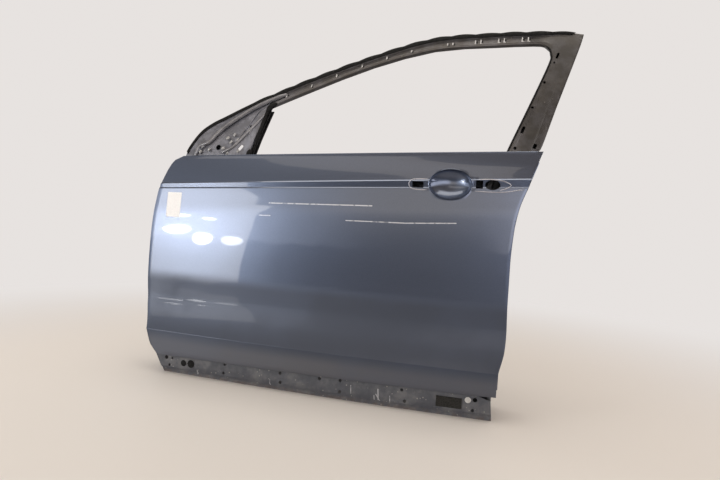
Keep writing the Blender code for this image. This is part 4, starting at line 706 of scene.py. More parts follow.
def punch(item, punches, angle):
    """Cuts all the punches out of the item with one Boolean and bakes it."""
    bm = bmesh.new()
    for outline, sweep in punches:
        extrude(bm, outline, sweep)
    helper = piece(item.name + "_punches", bm, solid=True)
    boolean = item.modifiers.new("holes", "BOOLEAN")
    boolean.operation, boolean.solver = "DIFFERENCE", "EXACT"
    boolean.object = helper
    baked(item, angle)
    drop(helper)


# %% [markdown]
# ## The handle bowl
#
# Fingers reach behind the handle into a pressed bowl. The grid leaves a rectangular hole for it, and rings
# of points lead from its border to an ellipse and then down to the bottom. Inside the ellipse the coach
# lines are wiped out, so the depth blends to a plain slope before the dish is added.

# %% Bowl rings
OUTER_RINGS = (0.3, 0.6, 0.85)
BOWL_RINGS = (1.0, 0.985, 0.965, 0.94, 0.9, 0.85, 0.78, 0.69, 0.58, 0.45, 0.3, 0.15)
BOWL_Z = height(LOW_COACH_LINE, BOWL_X) + BOWL_ABOVE_COACH
BOWL_LIP_RISE, BOWL_LIP_WIDTH = 0.0006, 0.06


def plain_depth(x, z):
    """Depth of the skin with the coach lines left out."""
    low = height(LOW_COACH_LINE, x) + BOWL_FOOT
    high = height(HIGH_COACH_LINE, x) + BOWL_HEAD
    share = (z - low) / (high - low)
    return skin_depth(x, low) + (skin_depth(x, high) - skin_depth(x, low)) * share


def bowl_depth(x, z):
    r = min(1.0, math.hypot((x - BOWL_X) / BOWL_HALF_LENGTH, (z - BOWL_Z) / BOWL_HALF_HEIGHT))
    dish = BOWL_DEPTH * (1 - r**2) ** 0.75
    lip = math.exp(-(((r - 1) / BOWL_LIP_WIDTH) ** 2)) * BOWL_LIP_RISE
    return skin_depth(x, z) * r**4 + plain_depth(x, z) * (1 - r**4) + dish - lip


def add_bowl(bm, verts, first, last):
    border = [verts[LOW_ROW][c] for c in range(first, last)]
    border += [verts[r][last] for r in range(LOW_ROW, HIGH_ROW)]
    border += [verts[HIGH_ROW][c] for c in range(last, first, -1)]
    border += [verts[r][first] for r in range(HIGH_ROW, LOW_ROW, -1)]
    starts = [v.co + DATUM for v in border]
    rim = []
    for p in starts:
        angle = math.atan2((p.z - BOWL_Z) / BOWL_HALF_HEIGHT, (p.x - BOWL_X) / BOWL_HALF_LENGTH)
        rim.append((BOWL_X + BOWL_HALF_LENGTH * math.cos(angle), BOWL_Z + BOWL_HALF_HEIGHT * math.sin(angle)))
    rings = [border]
    for share in OUTER_RINGS:
        flat = [(p.x + (x - p.x) * share, p.z + (z - p.z) * share) for p, (x, z) in zip(starts, rim)]
        rings.append(add_row(bm, on_sheet(skin_depth, flat)))
    for share in BOWL_RINGS:
        flat = [(BOWL_X + (x - BOWL_X) * share, BOWL_Z + (z - BOWL_Z) * share) for x, z in rim]
        rings.append(add_row(bm, on_sheet(bowl_depth, flat)))
    face_rows(bm, rings, closed=True)
    [bottom] = add_row(bm, on_sheet(bowl_depth, [(BOWL_X, BOWL_Z)]))
    for a, b in zip(rings[-1], rings[-1][1:] + rings[-1][:1]):
        bm.faces.new((a, b, bottom))


# %% [markdown]
# ## Hems and flanges
#
# At the front, rear and bottom the skin is folded round the edge of the inner panel: half a circle and a
# short return, which the eye reads as a thick, soft edge. Along the belt the skin turns inwards and down,
# where the outer weather strip will clip on.

# %% Folded edges
HEM_STEPS = 6
BOTTOM_HEM_GAP, BOTTOM_HEM_RETURN = 0.0026, 0.008
BELT_TURN = ((0.0006, 0.0008), (0.0018, 0.0012), (0.003, 0.0008), (0.0035, -0.0002), (0.0035, -0.0135))


def fold(start, back, outward, flange):
    """Half a circle from start round to back, and a return of the length flange."""
    centre, arm = (start + back) / 2, (start - back) / 2
    turned = []
    for i in range(1, HEM_STEPS + 1):
        angle = math.pi * i / HEM_STEPS
        turned.append(centre + arm * math.cos(angle) + outward * arm.length * math.sin(angle))
    return turned + [turned[-1] - outward * flange]


def add_hems(bm, verts):
    last_row, last_column = len(GRID) - 1, len(GRID[0]) - 1
    for column, side in ((0, -1), (last_column, 1)):
        strip = []
        for r in range(2, last_row - 2):
            [start] = on_sheet(skin_depth, [GRID[r][column]])
            bow_slope = 2 * PLAN_BOW * (start.x - PLAN_MIDDLE_X) / PLAN_HALF_LENGTH**2
            outward = Vector((side, side * bow_slope, 0)).normalized()
            back = start - depth_normal(skin_depth, start.x, start.z) * 2 * HEM_R
            strip.append([verts[r][column]] + add_row(bm, fold(start, back, outward, HEM_RETURN)))
        face_rows(bm, strip[::-1] if side < 0 else strip)
    bottom, belt = [], []
    for c in range(2, last_column - 1):
        start, corner = on_sheet(skin_depth, (GRID[0][c], GRID[last_row][c]))
        turned = fold(start, start + Vector((0, BOTTOM_HEM_GAP, 0)), Vector((0, 0, -1)), BOTTOM_HEM_RETURN)
        bottom.append([verts[0][c]] + add_row(bm, turned))
        belt.append([verts[last_row][c]] + add_row(bm, [corner + Vector((0, y, z)) for y, z in BELT_TURN]))
    face_rows(bm, bottom)
    face_rows(bm, belt[::-1])


# %% [markdown]
# ## The painted skin
#
# The grid, the bowl and the folds make one surface. Its outer face gets the paint, and its inner face the
# thin overspray, by a second material slot that Solidify uses for the back.

# %% Painted skin
SKIN_T = 0.001
HANDLE_HOLES = ((0.826, 0.592, 0.03, 0.016), (0.985, 0.598, 0.018, 0.021))
LOCK_HOLE = (1.018, 0.598, 0.038, 0.026)
PUNCH_Y = (0.03, 0.12)


def make_skin():
    first, last = SKIN_COLUMNS[0], SKIN_COLUMNS[0] + SKIN_COLUMNS[1]
    bm = bmesh.new()
    verts = [[None] * len(row) for row in GRID]
    for r, row in enumerate(GRID):
        for c, place in enumerate(row):
            if not (LOW_ROW < r < HIGH_ROW and first < c < last):
                [verts[r][c]] = add_row(bm, on_sheet(skin_depth, [place]))
    for r, (low, high) in enumerate(zip(verts, verts[1:])):
        for c in range(len(low) - 1):
            if not (LOW_ROW <= r < HIGH_ROW and first <= c < last):
                bm.faces.new((low[c], low[c + 1], high[c + 1], high[c]))
    add_bowl(bm, verts, first, last)
    add_hems(bm, verts)
    item = piece("painted_skin", bm, body_paint, panel_coat)
    thicken(item, SKIN_T, back_slot=1)
    punches = [through_y(rounded_box(w, h, 0.002), x, z, *PUNCH_Y) for x, z, w, h in HANDLE_HOLES]
    x, z, w, h = LOCK_HOLE
    punch(item, punches + [through_y(ellipse(w / 2, h / 2, 40), x, z, *PUNCH_Y)], 50.0)
    return item


skin = make_skin()
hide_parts("outer_skin")
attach(skin, "root")
print("painted skin:", len(skin.data.polygons), "faces")

# %% [markdown]
# ## A paper label
#
# A small rectangle of bare white paper is stuck to the paint. It follows the skin's curve and stands a
# fraction of a millimetre off it.

# %% Bare paper label
LABEL_X, LABEL_Z = (0.054, 0.104), (0.467, 0.541)
LABEL_STEPS = (6, 8)
LABEL_T, LABEL_OFF = 0.0002, 0.0003


def make_label():
    bm = bmesh.new()
    xs, zs = ([low + (high - low) * i / steps for i in range(steps + 1)]
              for (low, high), steps in zip((LABEL_X, LABEL_Z), LABEL_STEPS))
    face_rows(bm, [add_row(bm, on_sheet(skin_depth, [(x, z) for x in xs], LABEL_OFF)) for z in zs])
    item = piece("paper_label", bm, bare_paper)
    thicken(item, LABEL_T)
    baked(item)
    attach(item, "root")


make_label()

# %% [markdown]
# ## Shape rules of the window frame
#
# The frame is a loft through the solid's ribs, with four times the steps. A rib is X and Z of its outer edge
# and of its edge at the opening, the widths of its border and its land, the depth of the channel between
# them, the solid's steps to the next rib, and whether the curves bend sharply there. The mirror sail at the
# front is the same loft grown wide.

# %% Ribs of the window frame
FRAME_SET, TUMBLEHOME, TUMBLEHOME_CURVE, TUMBLEHOME_BLEND = 0.016, 0.33, 0.15, 0.05
FRAME_T, FRAME_BEND = 0.0012, 0.003
HEADER, LEG = (0.01, 0.008, 0.005, 2, False), (0.022, 0.014, 0.002, 1, False)
FRAME_RIBS = (
    (0.08, 0.634, 0.092, 0.61, 0.008, 0.008, 0.001, 1, False),
    (0.082, 0.668, 0.118, 0.611, 0.028, 0.01, 0.003, 2, False),
    (0.116, 0.726, 0.168, 0.612, 0.05, 0.016, 0.005, 2, False),
    (0.155, 0.757, 0.2, 0.613, 0.044, 0.022, 0.006, 1, False),
    (0.195, 0.777, 0.228, 0.614, 0.031, 0.042, 0.007, 1, False),
    (0.24, 0.8, 0.258, 0.614, 0.023, 0.086, 0.007, 1, False),
    (0.283, 0.821, 0.286, 0.612, 0.02, 0.14, 0.006, 2, True),
    (0.312, 0.833, 0.3107, 0.709, 0.017, 0.09, 0.006, 2, False),
    (0.345, 0.847, 0.336, 0.808, 0.011, 0.01, 0.005, 2, True),
    (0.455, 0.892, 0.467, 0.863, *HEADER), (0.626, 0.956, 0.64, 0.931, *HEADER),
    (0.808, 1.01, 0.815, 0.978, *HEADER), (0.98, 1.021, 0.973, 0.986, *HEADER),
    (1.092, 1.022, 1.085, 0.988, 0.01, 0.009, 0.005, 2, False),
    (1.165, 1.021, 1.114, 0.984, 0.012, 0.012, 0.003, 1, False),
    (1.214, 1.014, 1.128, 0.971, 0.018, 0.014, 0.002, 1, True),
    (1.208, 0.985, 1.1325, 0.95, *LEG), (1.192, 0.926, 1.128, 0.923, *LEG),
    (1.158, 0.806, 1.087, 0.806, *LEG), (1.131, 0.706, 1.05, 0.706, *LEG),
    (1.119, 0.682, 1.0415, 0.682, 0.02, 0.014, 0.002, 1, False),
    (1.096, 0.612, 1.017, 0.612, 0.018, 0.014, 0.002, 0, True),
)
STEPS_BETWEEN = 4


def frame_depth(x, z):
    """Depth Y of the frame's outer face, straight inside the door and leaning in above the belt."""
    rise = z - height(BELT_LINE, x) + TUMBLEHOME_BLEND
    bent = min(max(rise, 0.0), 2 * TUMBLEHOME_BLEND)
    above = max(0.0, rise - 2 * TUMBLEHOME_BLEND)
    lean = TUMBLEHOME * bent**2 / (4 * TUMBLEHOME_BLEND) + TUMBLEHOME * above + TUMBLEHOME_CURVE * above**2
    return SKIN_SECTION[-1][3] + plan_bow(x) + FRAME_SET + lean


def catmull(a, b, c, d, t):
    return 0.5 * (2 * b + (c - a) * t + (2 * a - 5 * b + 4 * c - d) * t**2 + (3 * b - a - 3 * c + d) * t**3)


def frame_stations():
    """Ribs and the steps between them, each as its seven measures."""
    flat = [rib[:7] for rib in FRAME_RIBS]
    stations = []
    for i, (*_, steps, sharp) in enumerate(FRAME_RIBS[:-1]):
        before = flat[i] if sharp or i == 0 else flat[i - 1]
        after = flat[i + 1] if FRAME_RIBS[i + 1][-1] else flat[i + 2]
        count = steps * STEPS_BETWEEN
        for step in range(count):
            stations.append([catmull(*v, step / count) for v in zip(before, flat[i], flat[i + 1], after)])
    return stations + [flat[-1]]


STATIONS = frame_stations()
print("frame stations:", len(STATIONS))

# %% [markdown]
# ## The pressing of the frame
#
# Across each rib the sheet rolls over at its outer edge, runs flat as a border, carries a small bead, drops
# into the channel and comes up again, over a second bead, to the land at the opening. Channel and beads fade
# out towards the rear leg.

# %% Frame pressing
BEAD = 0.0012


def across(station, distance):
    outer, opening = Vector((station[0], 0, station[1])), Vector((station[2], 0, station[3]))
    return outer + (opening - outer).normalized() * distance


def opening_normals(stations):
    """At each station, the direction into the opening, square to its edge."""
    points = [Vector((s[2], 0, s[3])) for s in stations]
    sides = []
    for a, b in zip(points, points[1:]):
        along = (b - a).normalized()
        sides.append(Vector((-along.z, 0, along.x)))
    pairs = zip(sides[:1] + sides, sides + sides[-1:])
    return [(first + second) / max(1 + first.dot(second), 0.8) for first, second in pairs]


def frame_section(station):
    """(distance from the outer edge, depth inboard) across one rib."""

    def fade(from_x, over):
        return min(max((from_x - station[0]) / over, 0.01), 1.0)

    border, land, channel = station[4:7]
    channel *= fade(1.19, 0.1)
    width = math.hypot(station[2] - station[0], station[3] - station[1])
    bead = BEAD * min(max(width / 0.06, 0.5), 1.8) * fade(1.16, 0.08)
    wall = [(-0.004, 0.0), (-0.0022, -bead), (-0.0006, -bead * 0.9), (0.0, 0.0),
            (FRAME_BEND - 0.0008, channel * 0.85), (FRAME_BEND, channel)]
    near, far = border + FRAME_BEND, width - land - FRAME_BEND
    marks = [(0.0, 0.0006), (0.0008, 0.0), (border * 0.3, 0.0)] + [(border + d, y) for d, y in wall]
    marks += [(near + (far - near) * share, channel) for share in (0.2, 0.4, 0.6, 0.8)]
    marks += [(width - land - d, y) for d, y in wall[::-1]]
    return marks + [(width - land * 0.33, 0.0)]


def make_frame_outer():
    bm = bmesh.new()
    rows = []
    for station, normal in zip(STATIONS, opening_normals(STATIONS)):
        end = Vector((station[2], 0, station[3]))
        places = [(across(station, distance), inboard) for distance, inboard in frame_section(station)]
        places += [(end + normal * 0.0015, 0.0), (end + normal * 0.0004, 0.0004), (end, 0.0015), (end, 0.012)]
        rows.append(add_row(bm, [(p.x, frame_depth(p.x, p.z) + y, p.z) for p, y in places]))
    face_rows(bm, rows)
    item = piece("frame_pressing", bm, frame_coat_and_light)
    thicken(item, FRAME_T, even=False)
    return item


# %% [markdown]
# The frame is pierced for the weather strip's tabs, for drains and for the mirror. Each hole is a straight
# punch, and one Boolean takes all of them, so that no slivers are left where two punches meet.

# %% Holes in the frame
HEADER_TAB_SLOTS = (
    (0.392, 0.843), (0.468, 0.872), (0.541, 0.903), (0.615, 0.931), (0.686, 0.955), (0.756, 0.973),
    (0.857, 0.991), (0.872, 0.993), (0.934, 0.998), (0.949, 0.999), (0.997, 1.001), (1.012, 1.002),
    (1.06, 1.003), (1.076, 1.003),
)
TAB_SLOT = (0.0035, 0.009)
PILLAR_LEAN = 0.3
PILLAR_SLOTS = ((1.151, 0.953, 0.006, 0.017), (1.079, 0.746, 0.008, 0.019), (1.112, 0.703, 0.009, 0.013))
PILLAR_HOLES = ((1.144, 0.933, 0.0025), (1.123, 0.877, 0.0035), (1.098, 0.807, 0.0035), (1.063, 0.697, 0.004))
SAIL_HOLES = ((0.188, 0.683, 0.0085), (0.29, 0.749, 0.004), (0.285, 0.73, 0.0028), (0.13, 0.686, 0.0028))
SAIL_SLOT = (0.268, 0.682, 0.022, 0.01, 0.9)


def frame_punch(shape, x, z, tilt=0.0):
    middle = frame_depth(x, z)
    return through_y(shape, x, z, middle - 0.015, middle + 0.02, tilt)


def frame_punches():
    wide, tall = TAB_SLOT
    slot = [(sx * wide / 2, sz * tall / 2) for sx, sz in ((1, 1), (-1, 1), (-1, -1), (1, -1))]
    punches = [frame_punch(slot, x, z) for x, z in HEADER_TAB_SLOTS]
    punches += [frame_punch(rounded_box(w, h, w * 0.3), x, z, -PILLAR_LEAN) for x, z, w, h in PILLAR_SLOTS]
    punches += [frame_punch(ellipse(r, r, 20), x, z) for x, z, r in PILLAR_HOLES + SAIL_HOLES]
    x, z, long, wide, tilt = SAIL_SLOT
    return punches + [frame_punch(rounded_box(long, wide, wide * 0.45), x, z, tilt)]


frame_outer = make_frame_outer()
punch(frame_outer, frame_punches(), 48.0)
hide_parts("window_frame_outer")
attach(frame_outer, "root")
print("frame pressing:", len(frame_outer.data.polygons), "faces")

# %% [markdown]
# ## Ridges on the mirror sail
#
# Two pressed ridges curve down through the sail from the header, with short lines beside them. Each is a low
# half-round swept along a smooth curve on the sheet, in a pale coat that paints its bright highlight line.

# %% Sail ridges
RIDGE_A = (
    (0.112, 0.645), (0.122, 0.683), (0.155, 0.699), (0.174, 0.721), (0.191, 0.739), (0.215, 0.759),
    (0.239, 0.775), (0.275, 0.799), (0.312, 0.819), (0.345, 0.833), (0.39, 0.85),
)
RIDGE_B = (
    (0.204, 0.666), (0.224, 0.675), (0.243, 0.685), (0.262, 0.705), (0.279, 0.725), (0.311, 0.762),
    (0.33, 0.79),
)
LAND_LINES = (
    ((0.298, 0.744), (0.294, 0.736), (0.29, 0.722)), ((0.27, 0.742), (0.262, 0.715), (0.256, 0.69)),
)
HALF_ROUND = (-1.0, -0.8, -0.4, 0.0, 0.4, 0.8, 1.0)
TAPER_FROM, TAPER_STEPS = 0.35, 5


def smooth_path(points, steps=6):
    ends = (points[0], *points, points[-1])
    path = []
    for corners in zip(ends, ends[1:], ends[2:], ends[3:]):
        path += [tuple(catmull(*v, i / steps) for v in zip(*corners)) for i in range(steps)]
    return path + [points[-1]]


def sweep_on(name, points, half_width, rise, material, depth=frame_depth, base=0.0012):
    """A half-round on a sheet along a smooth curve, thinning out at both ends; depth gives the sheet's Y."""
    path = smooth_path(points)
    bm = bmesh.new()
    rows = []
    for i, (x, z) in enumerate(path):
        ahead, behind = path[min(i + 1, len(path) - 1)], path[max(i - 1, 0)]
        along = Vector((ahead[0] - behind[0], 0, ahead[1] - behind[1])).normalized()
        side = Vector((-along.z, 0, along.x))
        taper = min(1.0, TAPER_FROM + min(i, len(path) - 1 - i) / TAPER_STEPS)
        row = []
        for u in HALF_ROUND:
            p = Vector((x, 0, z)) + side * half_width * taper * u
            out = rise * taper * math.sqrt(max(1 - u * u, 0.0)) - base * (abs(u) == 1.0)
            row.append(Vector((p.x, depth(p.x, p.z), p.z)) + depth_normal(depth, p.x, p.z) * out)
        rows.append(add_row(bm, row))
    face_tube(bm, rows)
    item = piece(name, bm, material, solid=True)
    baked(item, 50.0)
    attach(item, "root")


# Painted highlight: the ridges' pale coat stands for the bright line of light along them.
ridge_highlight_coat = make_dull_coat("worn_overspray", (0.2, 0.2, 0.215), (0.32, 0.32, 0.335),
                            (0.2, 0.19, 0.18), 0.24, (0.8, 0.1, 0.02), 0.5)
sweep_on("sail_ridge_a", RIDGE_A, 0.006, 0.005, ridge_highlight_coat)
sweep_on("sail_ridge_b", RIDGE_B, 0.005, 0.004, ridge_highlight_coat)
for number, line in enumerate(LAND_LINES):
    sweep_on(f"sail_land_line_{number}", line, 0.0018, 0.0014, ridge_highlight_coat)

# %% [markdown]
# Round the handle the strip between the coach lines widens into a pad. Its pressed edge is a fine half-round
# on the skin: a rounded end before the front hole, and behind the bowl a shape that tapers to a point. Its
# pale finish paints the edge's bright highlight.

# %% Pad of the handle
PAD_LEFT = (
    (0.852, 0.6072), (0.832, 0.607), (0.814, 0.6058), (0.804, 0.5995), (0.802, 0.5922), (0.805, 0.585),
    (0.814, 0.5803), (0.832, 0.5787), (0.852, 0.5787),
)
PAD_RIGHT = (
    (0.983, 0.6105), (1.008, 0.612), (1.033, 0.6105), (1.05, 0.6068), (1.0635, 0.599), (1.053, 0.5905),
    (1.036, 0.5845),
)
PAD_BELOW = (
    (0.975, 0.5803), (1.005, 0.5797), (1.035, 0.58), (1.057, 0.582), (1.079, 0.5867), (1.094, 0.5885),
)
# Painted highlight: the pale finish of the pad's edge.
pad_edge_highlight = make_toned("polished_edge", (0.34, 0.34, 0.37), (0.46, 0.46, 0.5), 60.0, 0.35, 0.0002, 0.3)
for name, line in (("front", PAD_LEFT), ("rear", PAD_RIGHT), ("below", PAD_BELOW)):
    sweep_on("handle_pad_" + name, line, 0.0014, 0.0011, pad_edge_highlight, depth=skin_depth, base=0.0004)

# %% [markdown]
# The glass runs down behind the sail in a black strip with a clip at either end. Its visible edge and the
# black edge of the rear leg are the same half-round swept along other lines.

# %% Clips and edge of the glass run
RUN_EDGE = ((0.3155, 0.69), (0.3235, 0.735), (0.332, 0.78), (0.337, 0.8))
RUN_CLIPS = (
    ((0.296, 0.64), (0.3, 0.66), (0.303, 0.678)), ((0.333, 0.793), (0.346, 0.812), (0.362, 0.82)),
)
sweep_on("run_edge", RUN_EDGE, 0.0055, 0.0026, black_rubber)
for number, line in enumerate(RUN_CLIPS):
    sweep_on(f"run_clip_{number}", line, 0.0095, 0.005, black_rubber)
rear_edge_line = [(s[2] + 0.0022, s[3]) for s in STATIONS[-28:-2:3]]
sweep_on("rear_run_edge", rear_edge_line, 0.0028, 0.0018, black_rubber)

# %% [markdown]
# ## The rubber edge
#
# A black strip is pushed over the frame's top edge. It swells between its clips, so its upper edge runs in
# shallow scallops: a rounded lip section is swept along the frame's outer edge, and its reach follows a
# rectified sine.

# %% Rubber edge strip
SEAL_LAP, SEAL_REACH, SEAL_WAVE, SEAL_PITCH = 0.0085, 0.0022, 0.003, 0.068
SEAL_WAVES_FROM_X = 0.282
SEAL_STEP = 0.004


def seal_path():
    """Points along the outer edge with (edge, lap, distance travelled where the waves are)."""
    edges, laps = ([across(s, distance) for s in STATIONS] for distance in (0.0, SEAL_LAP))
    last = max(range(len(edges)), key=lambda i: edges[i].x) - 2
    path, travelled = [], 0.0
    for i in range(STEPS_BETWEEN, last):
        length = (edges[i + 1] - edges[i]).length
        count = max(1, round(length / SEAL_STEP))
        for t in (step / count for step in range(count)):
            path.append((*(line[i].lerp(line[i + 1], t) for line in (edges, laps)), travelled + length * t))
        travelled += length if edges[i].x > SEAL_WAVES_FROM_X else 0.0
    return path


def make_edge_strip():
    bm = bmesh.new()
    rows = []
    for edge, lap, travelled in seal_path():
        wave = SEAL_WAVE * abs(math.sin(math.pi * travelled / SEAL_PITCH))
        up = (edge - lap).normalized()
        reach = up * (SEAL_REACH + (wave if edge.x > SEAL_WAVES_FROM_X else 0.0))
        y0 = frame_depth(edge.x, edge.z)
        slope = (frame_depth(lap.x, lap.z) - y0) / (lap - edge).length
        section = (
            (lap, 0.0), (lap, -0.0018), (lap + up * 0.0012, -0.0026), (edge, -0.0027),
            (edge + reach * 0.6, -0.0026), (edge + reach, -0.0016), (edge + reach, -0.0006),
            (edge + reach * 0.5, -0.0003), (edge, -0.0003), (lap, -0.0003),
        )
        rows.append(add_row(bm, [(p.x, y0 - slope * up.dot(p - edge) + out, p.z) for p, out in section]))
    face_tube(bm, rows)
    bmesh.ops.remove_doubles(bm, verts=bm.verts, dist=0.00001)
    item = piece("rubber_edge_strip", bm, black_rubber, solid=True)
    baked(item, 60.0)
    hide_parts("header_seal")
    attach(item, "root")
    print("edge strip:", len(item.data.polygons), "faces")


make_edge_strip()

# %% [markdown]
# ## The other solids
#
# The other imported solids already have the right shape. Each is copied, its loose triangles are merged so
# that shading runs across them, and with its finish the copy stands for the node.

# %% Finishes for the other solids
FINISHES = {
    "inner_panel": panel_coat, "inner_panel_front": panel_coat, "inner_panel_rear": panel_coat,
    "window_frame_inner": frame_coat_and_light, "sill_closing_panel": sill_dirt,
    "sill_plug_small": black_rubber, "sill_plug_large": black_rubber, "sill_plug_rear": pale_plastic,
    "foam_pad": black_foam, "glass_run_channel_front": black_rubber, "glass_run_seal_front": black_rubber,
    "beam_mastic_front": grey_mastic, "beam_mastic_middle": grey_mastic, "beam_mastic_rear": grey_mastic,
}


def dress(name):
    """A merged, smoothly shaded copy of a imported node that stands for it."""
    bm = bmesh.new()
    bm.from_mesh(nodes[name].data)
    bmesh.ops.remove_doubles(bm, verts=bm.verts, dist=0.000002)
    item = piece(name + "_dressed", bm, FINISHES.get(name, primer_coat))
    item.data.shade_smooth()
    item.data.set_sharp_from_angle(angle=math.radians(28))
    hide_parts(name)
    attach(item, "root")


dressed_already = {"outer_skin", "window_frame_outer", "header_seal"}
for node_name in sorted(nodes):
    if node_name not in dressed_already:
        dress(node_name)
print("dressed copies:", len(nodes) - len(dressed_already))

# %% [markdown]
# ## Many of one shape
#
# Tabs, spot welds and blobs of adhesive are each one shape set at many places. Geometry Nodes do that: a
# point cloud that knows which way each copy faces, one mesh, and an Instance on Points node. The instances
# are realized, so that each piece ends as a plain mesh.

# %% Geometry Nodes for things set at points


def make_placing_tree():
    """Puts a mesh on every point, its Z along the facing vector, turned about it, then sets the material."""
    tree = bpy.data.node_groups.new("set_at_points", "GeometryNodeTree")
    inputs = {"Geometry": "Geometry", "Shape": "Object", "Turn": "Float", "Finish": "Material"}
    for label, kind in inputs.items():
        tree.interface.new_socket(label, in_out="INPUT", socket_type="NodeSocket" + kind)
    tree.interface.new_socket("Geometry", in_out="OUTPUT", socket_type="NodeSocketGeometry")
    given, out = add(tree, "NodeGroupInput").outputs, add(tree, "NodeGroupOutput").inputs
    shape = add(tree, "GeometryNodeObjectInfo", {"Object": given["Shape"]}).outputs["Geometry"]
    facing = add(tree, "GeometryNodeInputNamedAttribute", {"Name": "facing"}, data_type="FLOAT_VECTOR")
    aligned = add(tree, "FunctionNodeAlignRotationToVector", {"Vector": facing}, axis="Z", pivot_axis="AUTO")
    turn = add(tree, "ShaderNodeCombineXYZ", {"Z": given["Turn"]})
    spin = add(tree, "FunctionNodeEulerToRotation", {"Euler": turn})
    rotation = add(tree, "FunctionNodeRotateRotation", {"Rotation": aligned, "Rotate By": spin},
                   rotation_space="LOCAL")
    set_at = add(tree, "GeometryNodeInstanceOnPoints", {"Points": given["Geometry"], "Instance": shape,
                                                        "Rotation": rotation})
    real = add(tree, "GeometryNodeRealizeInstances", {"Geometry": set_at})
    painted = add(tree, "GeometryNodeSetMaterial", {"Geometry": real, "Material": given["Finish"]})
    feed(tree, out, {"Geometry": painted})
    return tree


placing_tree = make_placing_tree()


def set_at_points(name, points, normals, shape, finish, turn=0.0):
    """The finished piece: the shape set at every point, as one plain mesh."""
    mesh = bpy.data.meshes.new(name)
    mesh.from_pydata([to_row(p) for p in points], [], [])
    facing = mesh.attributes.new("facing", "FLOAT_VECTOR", "POINT")
    for i, normal in enumerate(normals):
        facing.data[i].vector = normal
    item = link(name, mesh)
    modifier = item.modifiers.new("placing", "NODES")
    modifier.node_group = placing_tree
    values = {"Shape": shape, "Turn": turn, "Finish": finish}
    for socket in placing_tree.interface.items_tree:
        if socket.in_out == "INPUT" and socket.name in values:
            modifier[socket.identifier] = values[socket.name]
    baked(item)
    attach(item, "root")
    print(name, "-", len(points), "set,", len(item.data.polygons), "faces")


def on_frame(places):
    """Points on the frame's outer face, and the normals there."""
    return on_sheet(frame_depth, places), [depth_normal(frame_depth, x, z) for x, z in places]


# %% [markdown]
# The tongues that hold the weather strip are bent out of the header's channel. One tab is an L of sheet
# metal, drawn once, bevelled a little, and set at every slot of the header. Its pale finish paints the tabs'
# bright highlight.

# %% Lanced tabs
TAB_OUTLINE = (
    (-0.0022, -0.0072), (0.005, -0.0072), (0.005, -0.0046), (0.0007, -0.0046), (0.0007, 0.0072),
    (-0.0022, 0.0072),
)
TAB_BEHIND, TAB_TALL, TAB_BEVEL = 0.003, 0.0042, 0.0003
TAB_SHIFT = Vector((-0.0035, 0.0022, 0.0))


def tab_shape():
    """An L of sheet: a short upright with a foot, its Z pointing out of the frame."""
    bm = bmesh.new()
    extrude(bm, [(u, v, -TAB_BEHIND) for u, v in TAB_OUTLINE], (0, 0, TAB_TALL))
    bmesh.ops.bevel(bm, geom=list(bm.edges), offset=TAB_BEVEL, segments=1, affect="EDGES")
    return piece("tab_shape", bm, solid=True)


tab = tab_shape()
slot_points, slot_normals = on_frame(HEADER_TAB_SLOTS)
set_at_points("header_tabs", [p + TAB_SHIFT for p in slot_points], slot_normals, tab, tab_highlight_coat)
drop(tab)

# %% [markdown]
# ## Spot welds
#
# Spot welds are shallow round dimples a few centimetres apart along a flange. Each is a low ring with a
# sunk middle, turned like a lathe shape.

# %% Spot welds
WELD_PROFILE = ((0.0, -0.00002), (0.0018, 0.00005), (0.0026, 0.00025), (0.0032, 0.00018), (0.0038, -0.0003))
WELD_SIDES = 12
SILL_FLANGE_Y, SILL_WELD_Z = 0.024, 0.0062
SILL_WELD_XS = [0.095 + 0.0475 * i for i in range(21)]


def weld_shape():
    bm = bmesh.new()
    rings = []
    for radius, rise in WELD_PROFILE:
        ring = ellipse(radius, radius, WELD_SIDES) if radius else [(0.0, 0.0)]
        rings.append([bm.verts.new((u, v, rise)) for u, v in ring])
    for inner, outer in zip(rings, rings[1:]):
        for i in range(WELD_SIDES):
            j = (i + 1) % WELD_SIDES
            corners = [inner[i % len(inner)], outer[i], outer[j], inner[j % len(inner)]]
            bm.faces.new(list(dict.fromkeys(corners)))
    bm.faces.new(rings[-1][::-1])
    return piece("weld_shape", bm, solid=True)


weld = weld_shape()
sill_welds = [(x, SILL_FLANGE_Y + plan_bow(x), SILL_WELD_Z) for x in SILL_WELD_XS]
set_at_points("sill_flange_welds", sill_welds, [Vector((0, -1, 0))] * len(sill_welds), weld, sill_dirt)
pillar_places = [across(station, 0.006) for station in STATIONS[-26:-3:3]]
set_at_points("pillar_welds", *on_frame([(p.x, p.z) for p in pillar_places]), weld, frame_coat_and_light)
drop(weld)

# %% [markdown]
# Where the mirror's foam once stuck there are pale, glossy blobs of old adhesive. They are one lumpy,
# flattened ball set at several points, each a little different because its facing vector is tilted.

# %% Adhesive blobs on the sail
BLOBS = (
    (0.219, 0.712), (0.247, 0.69), (0.209, 0.68), (0.254, 0.707), (0.232, 0.699), (0.262, 0.672),
    (0.226, 0.664), (0.13, 0.668), (0.136, 0.685), (0.16, 0.676), (0.24, 0.722),
)
BLOB_SIZE = Vector((0.0062, 0.0047, 0.002))


def blob_shape():
    bm = bmesh.new()
    bmesh.ops.create_icosphere(bm, subdivisions=3, radius=1.0)
    for v in bm.verts:
        x, y = v.co.x, v.co.y
        lump = 1 + 0.18 * math.sin(3.1 * x + 1.0) * math.cos(4.3 * y) + 0.1 * math.sin(7 * y + 5 * x)
        v.co = v.co * BLOB_SIZE * lump
    return piece("blob_shape", bm)


